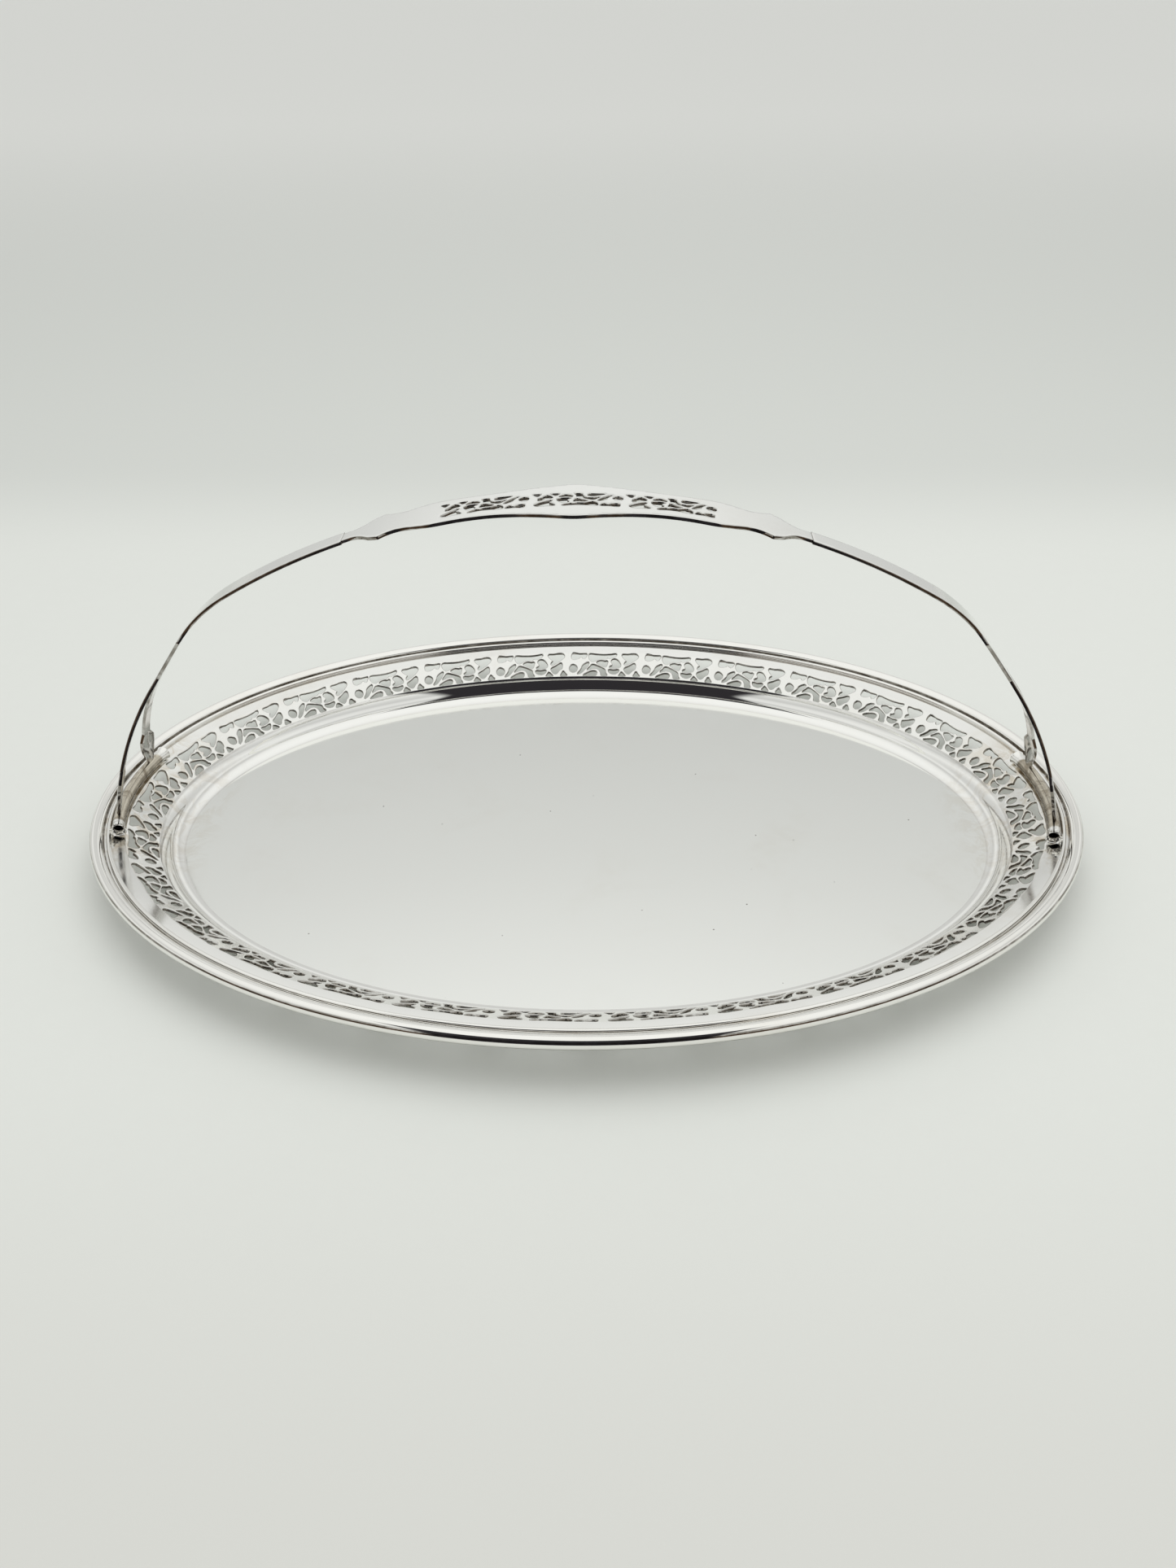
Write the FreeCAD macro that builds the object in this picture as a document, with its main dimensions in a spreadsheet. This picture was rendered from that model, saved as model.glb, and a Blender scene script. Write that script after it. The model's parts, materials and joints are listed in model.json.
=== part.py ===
import FreeCAD, Part
import math
import os
import Sketcher

# Oval serving tray with a pierced border and a fixed arched handle over its long axis.
# The origin is the centre of the flat underside: +X along the long axis, +Y across, +Z up.

os.makedirs("parts", exist_ok=True)
doc = FreeCAD.newDocument("HandledOvalTray")
V = FreeCAD.Vector
UP = V(0, 0, 1)

# ---------------------------------------------------------------- driving dimensions (mm, degrees)
SIZES = (
    ("half_length", 170.0, "half of the long axis, over the bead"),
    ("half_width", 119.0, "half of the short axis, over the bead"),
    ("gauge", 1.0, "thickness of the tray's sheet"),
    ("floor_edge", 28.8, "inset of the edge of the flat floor"),
    ("wall_inset", 23.2, "inset of the top of the cove's round"),
    ("wall_level", 5.2, "height of the top of the cove's round"),
    ("wall_lean", 0.3, "how far the short wall above the round leans outward"),
    ("wall_rise", 1.0, "height of the short wall above the round"),
    ("shoulder_inset", 22.4, "inset of the soft fold over the wall"),
    ("shoulder_level", 6.9, "height of the soft fold over the wall"),
    ("fold_inset", 21.2, "inset of the border's inner edge"),
    ("fold_level", 7.5, "height of the border's inner edge"),
    ("border_inset", 11.4, "inset of the border's outer edge"),
    ("border_level", 13.7, "height of the border's outer edge"),
    ("flange_mid_inset", 8.0, "inset of the middle of the flange"),
    ("flange_mid_level", 14.35, "height of the middle of the flange"),
    ("flange_inset", 4.4, "inset of the flange's outer edge, against the bead"),
    ("flange_level", 15.2, "height of the flange's outer edge"),
    ("bead_radius", 2.2, "radius of the rim wire"),
    ("bead_level", 15.4, "height of the rim wire's centre"),
    ("reed_radius", 0.75, "radius of the thin wire on the flange"),
    ("reed_inset", 6.2, "inset of the thin wire"),
    ("reed_level", 15.48, "height of the thin wire's centre"),
    ("motif_count", 28, "repeats of the pierced motif round the border"),
    ("first_cell", 0.2628, "where the first repeat starts, as a share of the rim from +X"),
    ("strap_gauge", 1.15, "thickness of the handle's strip"),
    ("handle_top", 124.2, "height of the handle's crown"),
    ("crown_radius", 223.0, "radius of the handle's long upper arc"),
    ("crown_angle", 30.0, "slope where the upper arc ends"),
    ("hip_radius", 60.0, "radius of the tighter bend below it"),
    ("hip_angle", 54.0, "slope where the bend ends"),
    ("shank_length", 16.3, "straight stretch from the bend to the fork"),
    ("fork_run", 4.2, "straight stretch of a leg below the fork"),
    ("leg_radius", 95.0, "radius of the bend of a leg"),
    ("foot_angle", 82.4, "slope of a leg at its foot"),
    ("grip_half", 72.0, "half length of the grip"),
    ("pierced_half", 42.5, "half length of the grip's pierced panel"),
    ("panel_half_width", 5.25, "half width of the grip's pierced panel"),
    ("panel_shift", 1.8, "how far the panel's repeats are moved along +X, which centres them"),
    ("fork_half", 2.1, "a leg's distance from the middle at the fork"),
    ("foot_half", 16.5, "a foot's distance from the middle"),
    ("foot_turn", 13.7, "turn of a foot, to follow the oval"),
    ("leg_width", 4.0, "width of a leg"),
    ("leaf_width", 8.2, "width of a foot's leaf"),
    ("leaf_length", 16.0, "length of a foot's leaf"),
    ("tip_width", 2.0, "width of the leaf's tip"),
    ("tube_radius", 2.1, "outer radius of a mount tube"),
    ("tube_bore", 1.5, "inner radius of a mount tube"),
    ("tube_inset", 9.5, "inset of a mount tube's centre line"),
    ("tube_level", 16.2, "height of a mount tube's centre line"),
    ("tube_sweep", 11.2, "how far a tube reaches from the long axis, degrees of the ellipse"),
    ("bell_length", 3.0, "length of a flared tube end"),
    ("bell_radius", 2.7, "outer radius of the flare's mouth"),
    ("bell_lip", 0.4, "thickness of the flare's lip"),
    ("bell_flat", 2.06, "the flare is flattened this far below its centre, to lie on the flange"),
)
sheet = doc.addObject("Spreadsheet::Sheet", "Sizes")
for row, (alias, value, meaning) in enumerate(SIZES, 1):
    sheet.set("A%d" % row, meaning)
    sheet.set("B%d" % row, str(value))
    sheet.setAlias("B%d" % row, alias)
doc.recompute()


def size(alias):
    return float(sheet.get(alias))


def bind(thing, **expressions):
    """Bind properties to the sheet; Base_z stands for Placement.Base.z."""
    for prop, expression in expressions.items():
        path = "Placement.Base." + prop[-1] if prop.startswith("Base_") else prop
        thing.setExpression(path, expression)


nodes = []


def node(thing, label):
    thing.Label = label
    nodes.append(thing)
    return thing


# ---------------------------------------------------------------- rings that follow the oval
def oval(name, inset, level):
    """An ellipse inside the rim: both half axes are shorter by inset, at height level."""
    ring = doc.addObject("Part::Ellipse", name)
    bind(ring, MajorRadius="Sizes.half_length - (%s)" % inset,
         MinorRadius="Sizes.half_width - (%s)" % inset, Base_z=level)
    return ring


def oval_stack(name, profile):
    """A solid stacked from ovals; profile lists (inset, level) from the bottom up."""
    loft = doc.addObject("Part::Loft", name)
    loft.Sections = [oval("%s_oval" % name, inset, level) for inset, level in profile]
    loft.Solid = True
    loft.Ruled = True
    return loft


def sheet_ring(name, underside, upper):
    """A ring of sheet between its underside and its upper surface, both listed bottom up."""
    ring = doc.addObject("Part::Cut", name)
    ring.Base = oval_stack(name + "_under", underside)
    ring.Tool = oval_stack(name + "_over", upper)
    return ring


# Vertical thickness of the sloping sheet.
DROP = "Sizes.gauge * 1.18"

# The flat floor: the face that the tray stands on.
floor_outline = oval("floor_outline", "Sizes.floor_edge", "0")
floor = doc.addObject("Part::Extrusion", "floor")
floor.Base = floor_outline
floor.DirMode = "Custom"
floor.Dir = UP
floor.Solid = True
bind(floor, LengthFwd="Sizes.gauge")
node(floor, "well_floor")

# The cove: a quarter round from the floor to a short wall, then a fold into the border.
STEPS = 5


def cove_round(gauge):
    """Insets and levels up the quarter round; gauge is 0 on the upper surface, 1 below."""
    for step in range(STEPS + 1):
        turn = 90.0 * step / STEPS
        inset = ("Sizes.floor_edge - (Sizes.floor_edge - Sizes.wall_inset + %d * Sizes.gauge)"
                 " * sin(%.1f deg)" % (gauge, turn))
        level = ("Sizes.wall_level - (Sizes.wall_level - (1 - %d) * Sizes.gauge)"
                 " * cos(%.1f deg)" % (gauge, turn))
        yield inset, level


cove_under = list(cove_round(1))
cove_under.append(("Sizes.fold_inset", "Sizes.fold_level - " + DROP))
cove_under.append(("Sizes.fold_inset", "Sizes.fold_level + 1"))
cove_over = [("Sizes.floor_edge", "-1")]
cove_over.extend(cove_round(0))
cove_over.append(("Sizes.wall_inset - Sizes.wall_lean", "Sizes.wall_level + Sizes.wall_rise"))
cove_over.append(("Sizes.shoulder_inset", "Sizes.shoulder_level"))
cove_over.append(("Sizes.fold_inset", "Sizes.fold_level"))
cove_over.append(("Sizes.fold_inset - 2", "Sizes.fold_level + 1.265"))
node(sheet_ring("cove", cove_under, cove_over), "cove_wall")

# The flange: a plain strip, very slightly hollow, from the border out to the bead.
flange_under = [
    ("Sizes.border_inset", "Sizes.border_level - " + DROP),
    ("Sizes.flange_mid_inset", "Sizes.flange_mid_level - Sizes.gauge"),
    ("Sizes.flange_inset", "Sizes.flange_level - Sizes.gauge"),
    ("Sizes.flange_inset", "Sizes.flange_level + 0.3"),
]
flange_over = [
    ("Sizes.border_inset", "Sizes.border_level - 3"),
    ("Sizes.border_inset", "Sizes.border_level"),
    ("Sizes.flange_mid_inset", "Sizes.flange_mid_level"),
    ("Sizes.flange_inset", "Sizes.flange_level"),
    ("Sizes.flange_inset - 2", "Sizes.flange_level + 0.4722"),
]
node(sheet_ring("flange", flange_under, flange_over), "rim_flange")

# ---------------------------------------------------------------- the pierced border
# The six largest openings of one repeat of the motif, as closed curves through (along, across)
# points: along runs clockwise seen from above, across runs from the inner edge (0) to the outer (1).
OPENINGS = (
    # under the rim, beside the flower
    ((0.105, 0.95), (0.20, 0.905), (0.285, 0.91), (0.275, 0.83), (0.25, 0.74), (0.225, 0.82),
     (0.17, 0.75), (0.09, 0.80)),
    # long gap under the crossing
    ((0.30, 0.28), (0.335, 0.38), (0.37, 0.47), (0.44, 0.41), (0.50, 0.34), (0.54, 0.24),
     (0.565, 0.04), (0.50, 0.04), (0.47, 0.26), (0.43, 0.335), (0.37, 0.34)),
    # long gap under the rim
    ((0.33, 0.90), (0.42, 0.885), (0.52, 0.87), (0.61, 0.885), (0.685, 0.91), (0.66, 0.82),
     (0.60, 0.765), (0.52, 0.74), (0.44, 0.70), (0.375, 0.63), (0.335, 0.76)),
    # inside the large loop
    ((0.645, 0.70), (0.685, 0.695), (0.745, 0.50), (0.74, 0.41), (0.64, 0.355), (0.605, 0.385),
     (0.65, 0.52)),
    # beside the rim's curl
    ((0.775, 0.90), (0.85, 0.905), (0.925, 0.94), (0.98, 0.83), (0.91, 0.64), (0.81, 0.50),
     (0.84, 0.66), (0.81, 0.74)),
    # under the long stem
    ((0.81, 0.34), (0.87, 0.43), (0.935, 0.54), (0.94, 0.33), (0.86, 0.135), (0.815, 0.26)),
)


def closed_curve(points):
    curve = Part.BSplineCurve()
    curve.interpolate(Points=points, PeriodicFlag=True)
    return curve


rim = Part.Ellipse(V(0, 0, 0), size("half_length"), size("half_width")).toShape()


def rim_point(share, inset):
    """The point that lies inset inside the rim, at a share of its length from +X."""
    spot = rim.getParameterByLength((share % 1.0) * rim.Length)
    long_part = size("half_width") * math.cos(spot)
    cross_part = size("half_length") * math.sin(spot)
    inward = V(-long_part, -cross_part, 0).normalize()
    reach = math.hypot(size("half_length") * inward.x, size("half_width") * inward.y)
    scale = (size("half_length") * inward.x ** 2 + size("half_width") * inward.y ** 2) / reach
    return rim.Curve.value(spot) + inward * (inset * scale)


def border_point(cell, along, across):
    share = size("first_cell") - (cell + along) / size("motif_count")
    inset = size("fold_inset") + (size("border_inset") - size("fold_inset")) * across
    return rim_point(share, inset)


prisms = []
for cell in range(int(size("motif_count"))):
    for opening in OPENINGS:
        curve = closed_curve([border_point(cell, along, across) for along, across in opening])
        face = Part.Face(Part.Wire(curve.toShape()))
        prisms.append(face.extrude(UP * (size("border_level") + 4)))
openings = doc.addObject("Part::Feature", "border_openings")
openings.Shape = Part.makeCompound(prisms)

border_under = [
    ("Sizes.fold_inset", "Sizes.fold_level - " + DROP),
    ("Sizes.border_inset", "Sizes.border_level - " + DROP),
    ("Sizes.border_inset", "Sizes.border_level + 1"),
]
border_over = [
    ("Sizes.fold_inset", "Sizes.fold_level - 3"),
    ("Sizes.fold_inset", "Sizes.fold_level"),
    ("Sizes.border_inset", "Sizes.border_level"),
    ("Sizes.border_inset - 2", "Sizes.border_level + 1.265"),
]
border = doc.addObject("Part::Cut", "border")
border.Base = sheet_ring("border_sheet", border_under, border_over)
border.Tool = openings
node(border, "pierced_border")


# ---------------------------------------------------------------- wires round the rim
def oval_wire(name, label, inset, level, radius):
    """A round wire that runs the whole way round, its centre line inset from the rim."""
    spine = oval(name + "_spine", inset, level)
    section = doc.addObject("Part::Circle", name + "_section")
    section.Placement = FreeCAD.Placement(V(0, 0, 0), FreeCAD.Rotation(V(1, 0, 0), 90))
    bind(section, Radius=radius, Base_x="Sizes.half_length - (%s)" % inset, Base_z=level)
    wire = doc.addObject("Part::Sweep", name)
    wire.Sections = [section]
    wire.Spine = (spine, ["Edge1"])
    wire.Solid = True
    wire.Frenet = True
    return node(wire, label)


oval_wire("bead", "rim_bead", "Sizes.bead_radius", "Sizes.bead_level", "Sizes.bead_radius")
oval_wire("reed", "inner_reed", "Sizes.reed_inset", "Sizes.reed_level", "Sizes.reed_radius")


# ---------------------------------------------------------------- sketches and bodies
def origin_plane(body, role):
    return [plane for plane in body.Origin.OriginFeatures if plane.Role == role][0]


def add_sketch(body, name, role, lift=0.0):
    sketch = body.newObject("Sketcher::SketchObject", name)
    sketch.AttachmentSupport = [(origin_plane(body, role), "")]
    sketch.MapMode = "FlatFace"
    sketch.AttachmentOffset = FreeCAD.Placement(V(0, 0, lift), FreeCAD.Rotation())
    return sketch


def join_ends(sketch, one, other):
    """Tie the two pieces together where an end of one meets an end of the other."""
    for near in (1, 2):
        for far in (1, 2):
            gap = sketch.getPoint(one, near) - sketch.getPoint(other, far)
            if gap.Length < 1e-4:
                sketch.addConstraint(Sketcher.Constraint("Coincident", one, near, other, far))
                return
    raise RuntimeError("two pieces of %s do not meet" % sketch.Name)


def add_chain(sketch, pieces):
    """Add pieces that follow one another in a closed loop, and tie each to the next."""
    first = sketch.GeometryCount
    for piece in pieces:
        sketch.addGeometry(piece, False)
    last = sketch.GeometryCount - 1
    for place in range(first, last + 1):
        join_ends(sketch, place, place + 1 if place < last else first)


def add_frame(sketch, reach_x, reach_y):
    """A rectangle about the sketch's centre."""
    corners = [V(-reach_x, -reach_y, 0), V(reach_x, -reach_y, 0),
               V(reach_x, reach_y, 0), V(-reach_x, reach_y, 0)]
    sides = [Part.LineSegment(corners[i], corners[(i + 1) % 4]) for i in range(4)]
    add_chain(sketch, sides)


def cut_through(body, name, sketch):
    """Pocket both ways from the sketch, and make sure that it removed something."""
    doc.recompute()
    before = body.Shape.Volume
    pocket = body.newObject("PartDesign::Pocket", name)
    pocket.Profile = sketch
    pocket.Type = "ThroughAll"
    pocket.Midplane = True
    doc.recompute()
    if not body.Shape.Volume < before - 1.0:
        raise RuntimeError(name + " removed nothing")
    return pocket


def smooth_curve(points):
    curve = Part.BSplineCurve()
    curve.interpolate([V(x, y, 0) for x, y in points])
    return curve


# Width of the blanks that the handle's pieces are cut from.
BLANK_WIDTH = 40.0

# ---------------------------------------------------------------- the handle's path (XZ plane)
crown_centre = V(0, size("handle_top") - size("crown_radius"), 0)
crown_angle = math.radians(size("crown_angle"))
hip_angle = math.radians(size("hip_angle"))


def outward(angle):
    """Direction away from the bend's centre where the strip slopes down by angle."""
    return V(math.sin(angle), math.cos(angle), 0)


def downhill(angle):
    return V(math.cos(angle), -math.sin(angle), 0)


hip_start = crown_centre + outward(crown_angle) * size("crown_radius")
hip_centre = hip_start - outward(crown_angle) * size("hip_radius")
hip_end = hip_centre + outward(hip_angle) * size("hip_radius")
fork = hip_end + downhill(hip_angle) * size("shank_length")
leg_start = fork + downhill(hip_angle) * size("fork_run")


def arc(centre, radius, start, end):
    """Arc about centre from one point to another, through the middle of their turn."""
    middle = centre + ((start - centre) + (end - centre)).normalize() * radius
    return Part.Arc(start, middle, end)


# Grip: the broad middle of the strip. Half of its width, at distances from its middle.
GRIP_EDGE = ((0.0, 12.45), (8.5, 11.05), (17.0, 9.55), (25.5, 8.6), (34.0, 8.4), (42.5, 8.7),
             (47.5, 7.9), (52.5, 6.6), (56.5, 7.1), (59.5, 8.7))
GRIP_NECK = ((59.5, 8.7), (62.5, 7.2), (65.5, 4.4), (68.5, 2.9), (72.0, 2.75))

grip = doc.addObject("PartDesign::Body", "grip")
strip = add_sketch(grip, "grip_strip", "XZ_Plane")
outer = size("crown_radius")
inner = outer - size("strap_gauge")
half = size("grip_half")
top_left = crown_centre + V(-half, math.sqrt(outer ** 2 - half ** 2), 0)
top_right = crown_centre + V(half, math.sqrt(outer ** 2 - half ** 2), 0)
low_right = crown_centre + V(half, math.sqrt(inner ** 2 - half ** 2), 0)
low_left = crown_centre + V(-half, math.sqrt(inner ** 2 - half ** 2), 0)
add_chain(strip, [Part.LineSegment(low_left, top_left),
                  arc(crown_centre, outer, top_left, top_right),
                  Part.LineSegment(top_right, low_right),
                  arc(crown_centre, inner, low_right, low_left)])
pad = grip.newObject("PartDesign::Pad", "grip_pad")
pad.Profile = strip
pad.Midplane = True
pad.Length = BLANK_WIDTH

edge_points = [(-x, y) for x, y in reversed(GRIP_EDGE)] + list(GRIP_EDGE[1:])
back_edge = [(-x, y) for x, y in reversed(GRIP_NECK)]
outline = add_sketch(grip, "grip_outline", "XY_Plane")
add_frame(outline, half + 20, BLANK_WIDTH)
add_chain(outline, [
    smooth_curve(back_edge),
    smooth_curve(edge_points),
    smooth_curve(GRIP_NECK),
    Part.LineSegment(V(half, GRIP_NECK[-1][1], 0), V(half, -GRIP_NECK[-1][1], 0)),
    smooth_curve([(x, -y) for x, y in reversed(GRIP_NECK)]),
    smooth_curve([(x, -y) for x, y in reversed(edge_points)]),
    smooth_curve([(-x, -y) for x, y in GRIP_NECK]),
    Part.LineSegment(V(-half, -GRIP_NECK[-1][1], 0), V(-half, GRIP_NECK[-1][1], 0)),
])
cut_through(grip, "grip_shape", outline)

# Three repeats of the border's motif, turned end for end, along the middle of the grip.
panel = add_sketch(grip, "grip_panel", "XY_Plane")
REPEATS = 3
for repeat in range(REPEATS):
    for opening in OPENINGS:
        points = []
        for along, across in opening:
            x = size("panel_shift") + size("pierced_half") * (1 - 2 * (repeat + along) / REPEATS)
            points.append(V(x, size("panel_half_width") * (1 - 2 * across), 0))
        panel.addGeometry(closed_curve(points), False)
cut_through(grip, "grip_piercing", panel)
node(grip, "handle_grip")

# Arms: the narrow strip from the grip to the fork. Half of the width along X.
ARM_EDGE = ((72.0, 3.6), (85.0, 3.9), (98.0, 4.15), (110.0, 4.4), (122.0, 4.4), (126.5, 4.7),
            (129.5, 5.9))
ARM_END = ((129.5, 5.9), (131.5, 4.6), (134.5, 4.2), (140.0, 4.15))


def arm_body(label, turn):
    body = doc.addObject("PartDesign::Body", label)
    side = add_sketch(body, label + "_strip", "XZ_Plane")
    crown_out = size("crown_radius")
    crown_in = crown_out - size("strap_gauge")
    hip_in = size("hip_radius") - size("strap_gauge")
    start = size("grip_half")
    out_start = crown_centre + V(start, math.sqrt(crown_out ** 2 - start ** 2), 0)
    in_start = crown_centre + V(start, math.sqrt(crown_in ** 2 - start ** 2), 0)
    in_hip_start = crown_centre + outward(crown_angle) * crown_in
    in_hip_end = hip_centre + outward(hip_angle) * hip_in
    in_fork = fork - outward(hip_angle) * size("strap_gauge")
    add_chain(side, [
        arc(crown_centre, crown_out, out_start, hip_start),
        arc(hip_centre, size("hip_radius"), hip_start, hip_end),
        Part.LineSegment(hip_end, fork),
        Part.LineSegment(fork, in_fork),
        Part.LineSegment(in_fork, in_hip_end),
        arc(hip_centre, hip_in, in_hip_end, in_hip_start),
        arc(crown_centre, crown_in, in_hip_start, in_start),
        Part.LineSegment(in_start, out_start),
    ])
    bar = body.newObject("PartDesign::Pad", label + "_pad")
    bar.Profile = side
    bar.Midplane = True
    bar.Length = BLANK_WIDTH
    plan = add_sketch(body, label + "_outline", "XY_Plane")
    near, far = size("grip_half") - 12, fork.x + 10
    corners = [V(near, -BLANK_WIDTH, 0), V(far, -BLANK_WIDTH, 0), V(far, BLANK_WIDTH, 0),
               V(near, BLANK_WIDTH, 0)]
    add_chain(plan, [Part.LineSegment(corners[i], corners[(i + 1) % 4]) for i in range(4)])
    tail = ARM_END[-1]
    head = ARM_EDGE[0]
    add_chain(plan, [
        smooth_curve(ARM_EDGE),
        smooth_curve(ARM_END),
        Part.LineSegment(V(tail[0], tail[1], 0), V(tail[0], -tail[1], 0)),
        smooth_curve([(x, -y) for x, y in reversed(ARM_END)]),
        smooth_curve([(x, -y) for x, y in reversed(ARM_EDGE)]),
        Part.LineSegment(V(head[0], -head[1], 0), V(head[0], head[1], 0)),
    ])
    cut_through(body, label + "_shape", plan)
    body.Placement = FreeCAD.Placement(V(0, 0, 0), FreeCAD.Rotation(UP, turn))
    return node(body, label)


arm_body("right_arm", 0)
arm_body("left_arm", 180)

# ---------------------------------------------------------------- legs
STATIONS = 16


def leg_width(left_to_go):
    """Width of a leg at a distance from its tip: a bar, a small shoulder, then a leaf."""
    leaf = size("leaf_length")
    if left_to_go >= leaf:
        return size("leg_width")
    shoulder = 0.8 * leaf
    if left_to_go >= shoulder:
        rise = (leaf - left_to_go) / (leaf - shoulder)
        return size("leg_width") + (size("leaf_width") - size("leg_width")) * rise
    swell = math.sin(0.5 * math.pi * left_to_go / shoulder)
    return size("tip_width") + (size("leaf_width") - size("tip_width")) * swell


def leg_shape(side):
    """A leg at the +X end; side is +1 for the back leg and -1 for the front one."""
    radius = size("leg_radius")
    foot_angle = math.radians(size("foot_angle"))
    bend_centre = leg_start - outward(hip_angle) * radius
    length = size("fork_run") + radius * (foot_angle - hip_angle)
    leaf = size("leaf_length")
    leaf_shares = [1 - leaf / length * part for part in (1.0, 0.9, 0.8, 0.65, 0.5, 0.35, 0.2, 0.1, 0.0)]
    bar_end = leaf_shares[0]
    shares = [bar_end * step / STATIONS for step in range(STATIONS)] + leaf_shares
    sections = []
    for share in shares:
        along = share * length
        if along < size("fork_run"):
            angle = hip_angle
            spot = fork + downhill(hip_angle) * along
        else:
            angle = hip_angle + (along - size("fork_run")) / radius
            spot = bend_centre + outward(angle) * radius
        offset = size("fork_half") + (size("foot_half") - size("fork_half")) * share
        turn = math.radians(size("foot_turn")) * share
        across = V(-side * math.sin(turn), math.cos(turn), 0)
        run = V(math.cos(angle), 0, -math.sin(angle))
        face = run.cross(across).normalize() * -size("strap_gauge")
        centre = V(spot.x, side * offset, spot.y)
        reach = across * (0.5 * leg_width(length - along))
        corners = [centre - reach, centre + reach, centre + reach + face, centre - reach + face]
        sections.append(Part.makePolygon(corners + corners[:1]))
    return Part.makeLoft(sections, True, True)


for label, side, turn in (("right_back_leg", 1, 0), ("right_front_leg", -1, 0),
                          ("left_front_leg", 1, 180), ("left_back_leg", -1, 180)):
    leg = doc.addObject("Part::Feature", label)
    leg.Shape = leg_shape(side)
    leg.Placement = FreeCAD.Placement(V(0, 0, 0), FreeCAD.Rotation(UP, turn))
    node(leg, label)

# ---------------------------------------------------------------- mount tubes
tube_long = size("half_length") - size("tube_inset")
tube_short = size("half_width") - size("tube_inset")


def tube_end(side):
    """Point and outward direction of the tube's end at the +X end of the tray."""
    spot = math.radians(size("tube_sweep")) * side
    point = V(tube_long * math.cos(spot), tube_short * math.sin(spot), size("tube_level"))
    heading = V(-tube_long * math.sin(spot), tube_short * math.cos(spot), 0).normalize() * side
    return point, heading


def tube_sweep(name, radius):
    spine = oval(name + "_spine", "Sizes.tube_inset", "Sizes.tube_level")
    bind(spine, Angle1="360 - Sizes.tube_sweep", Angle2="360 + Sizes.tube_sweep")
    point, heading = tube_end(-1)
    section = doc.addObject("Part::Circle", name + "_section")
    section.Placement = FreeCAD.Placement(point, FreeCAD.Rotation(UP, heading))
    bind(section, Radius=radius)
    sweep = doc.addObject("Part::Sweep", name)
    sweep.Sections = [section]
    sweep.Spine = (spine, ["Edge1"])
    sweep.Solid = True
    sweep.Frenet = True
    return sweep


for label, turn in (("right_mount_tube", 0), ("left_mount_tube", 180)):
    tube = doc.addObject("Part::Cut", label)
    tube.Base = tube_sweep(label + "_wall", "Sizes.tube_radius")
    tube.Tool = tube_sweep(label + "_bore", "Sizes.tube_bore")
    tube.Placement = FreeCAD.Placement(V(0, 0, 0), FreeCAD.Rotation(UP, turn))
    node(tube, label)


def bell_body(label, side, turn):
    """A flared tube end; its own X axis points out of the mouth."""
    body = doc.addObject("PartDesign::Body", label)
    sketch = add_sketch(body, label + "_profile", "XZ_Plane")
    bore, radius = size("tube_bore"), size("tube_radius")
    length, mouth, lip = size("bell_length"), size("bell_radius"), size("bell_lip")
    waist = 0.55 * length
    outer_curve = Part.Arc(V(0, radius, 0), V(waist, radius + 0.25 * (mouth - radius), 0),
                           V(length, mouth, 0))
    inner_curve = Part.Arc(V(length, mouth - lip, 0),
                           V(waist, bore + 0.25 * (mouth - lip - bore), 0), V(0, bore, 0))
    add_chain(sketch, [Part.LineSegment(V(0, bore, 0), V(0, radius, 0)), outer_curve,
                       Part.LineSegment(V(length, mouth, 0), V(length, mouth - lip, 0)),
                       inner_curve])
    flare = body.newObject("PartDesign::Revolution", label + "_flare")
    flare.Profile = sketch
    flare.ReferenceAxis = (sketch, ["H_Axis"])
    flare.Angle = 360.0
    doc.recompute()
    before = body.Shape.Volume
    base = add_sketch(body, label + "_flat", "XY_Plane", -size("bell_flat"))
    add_frame(base, 10, 10)
    trim = body.newObject("PartDesign::Pocket", label + "_trim")
    trim.Profile = base
    trim.Length = size("bell_radius")
    doc.recompute()
    if not 0.7 * before < body.Shape.Volume < before:
        raise RuntimeError(label + " was not trimmed as meant")
    point, heading = tube_end(side)
    facing = math.degrees(math.atan2(heading.y, heading.x))
    home = FreeCAD.Placement(point, FreeCAD.Rotation(UP, facing))
    body.Placement = FreeCAD.Placement(V(0, 0, 0), FreeCAD.Rotation(UP, turn)).multiply(home)
    return node(body, label)


bell_body("right_back_bell", 1, 0)
bell_body("right_front_bell", -1, 0)
bell_body("left_front_bell", 1, 180)
bell_body("left_back_bell", -1, 180)

# ---------------------------------------------------------------- check and write
doc.recompute()
for thing in doc.Objects:
    if "Invalid" in thing.State or "Error" in thing.State:
        raise RuntimeError("%s did not compute: %s" % (thing.Label, thing.State))
for piece in nodes:
    shape = piece.Shape
    if shape.isNull() or not shape.isValid():
        raise RuntimeError(piece.Label + " has no valid shape")
    print("%-18s solids %d volume %9.1f" % (piece.Label, len(shape.Solids), shape.Volume))
for piece in nodes:
    piece.Shape.exportStep("parts/%s.step" % piece.Label)
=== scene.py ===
import json
import math

import bmesh
import bpy
import numpy as np
from mathutils import Matrix, Vector
from mathutils.geometry import delaunay_2d_cdt

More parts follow.
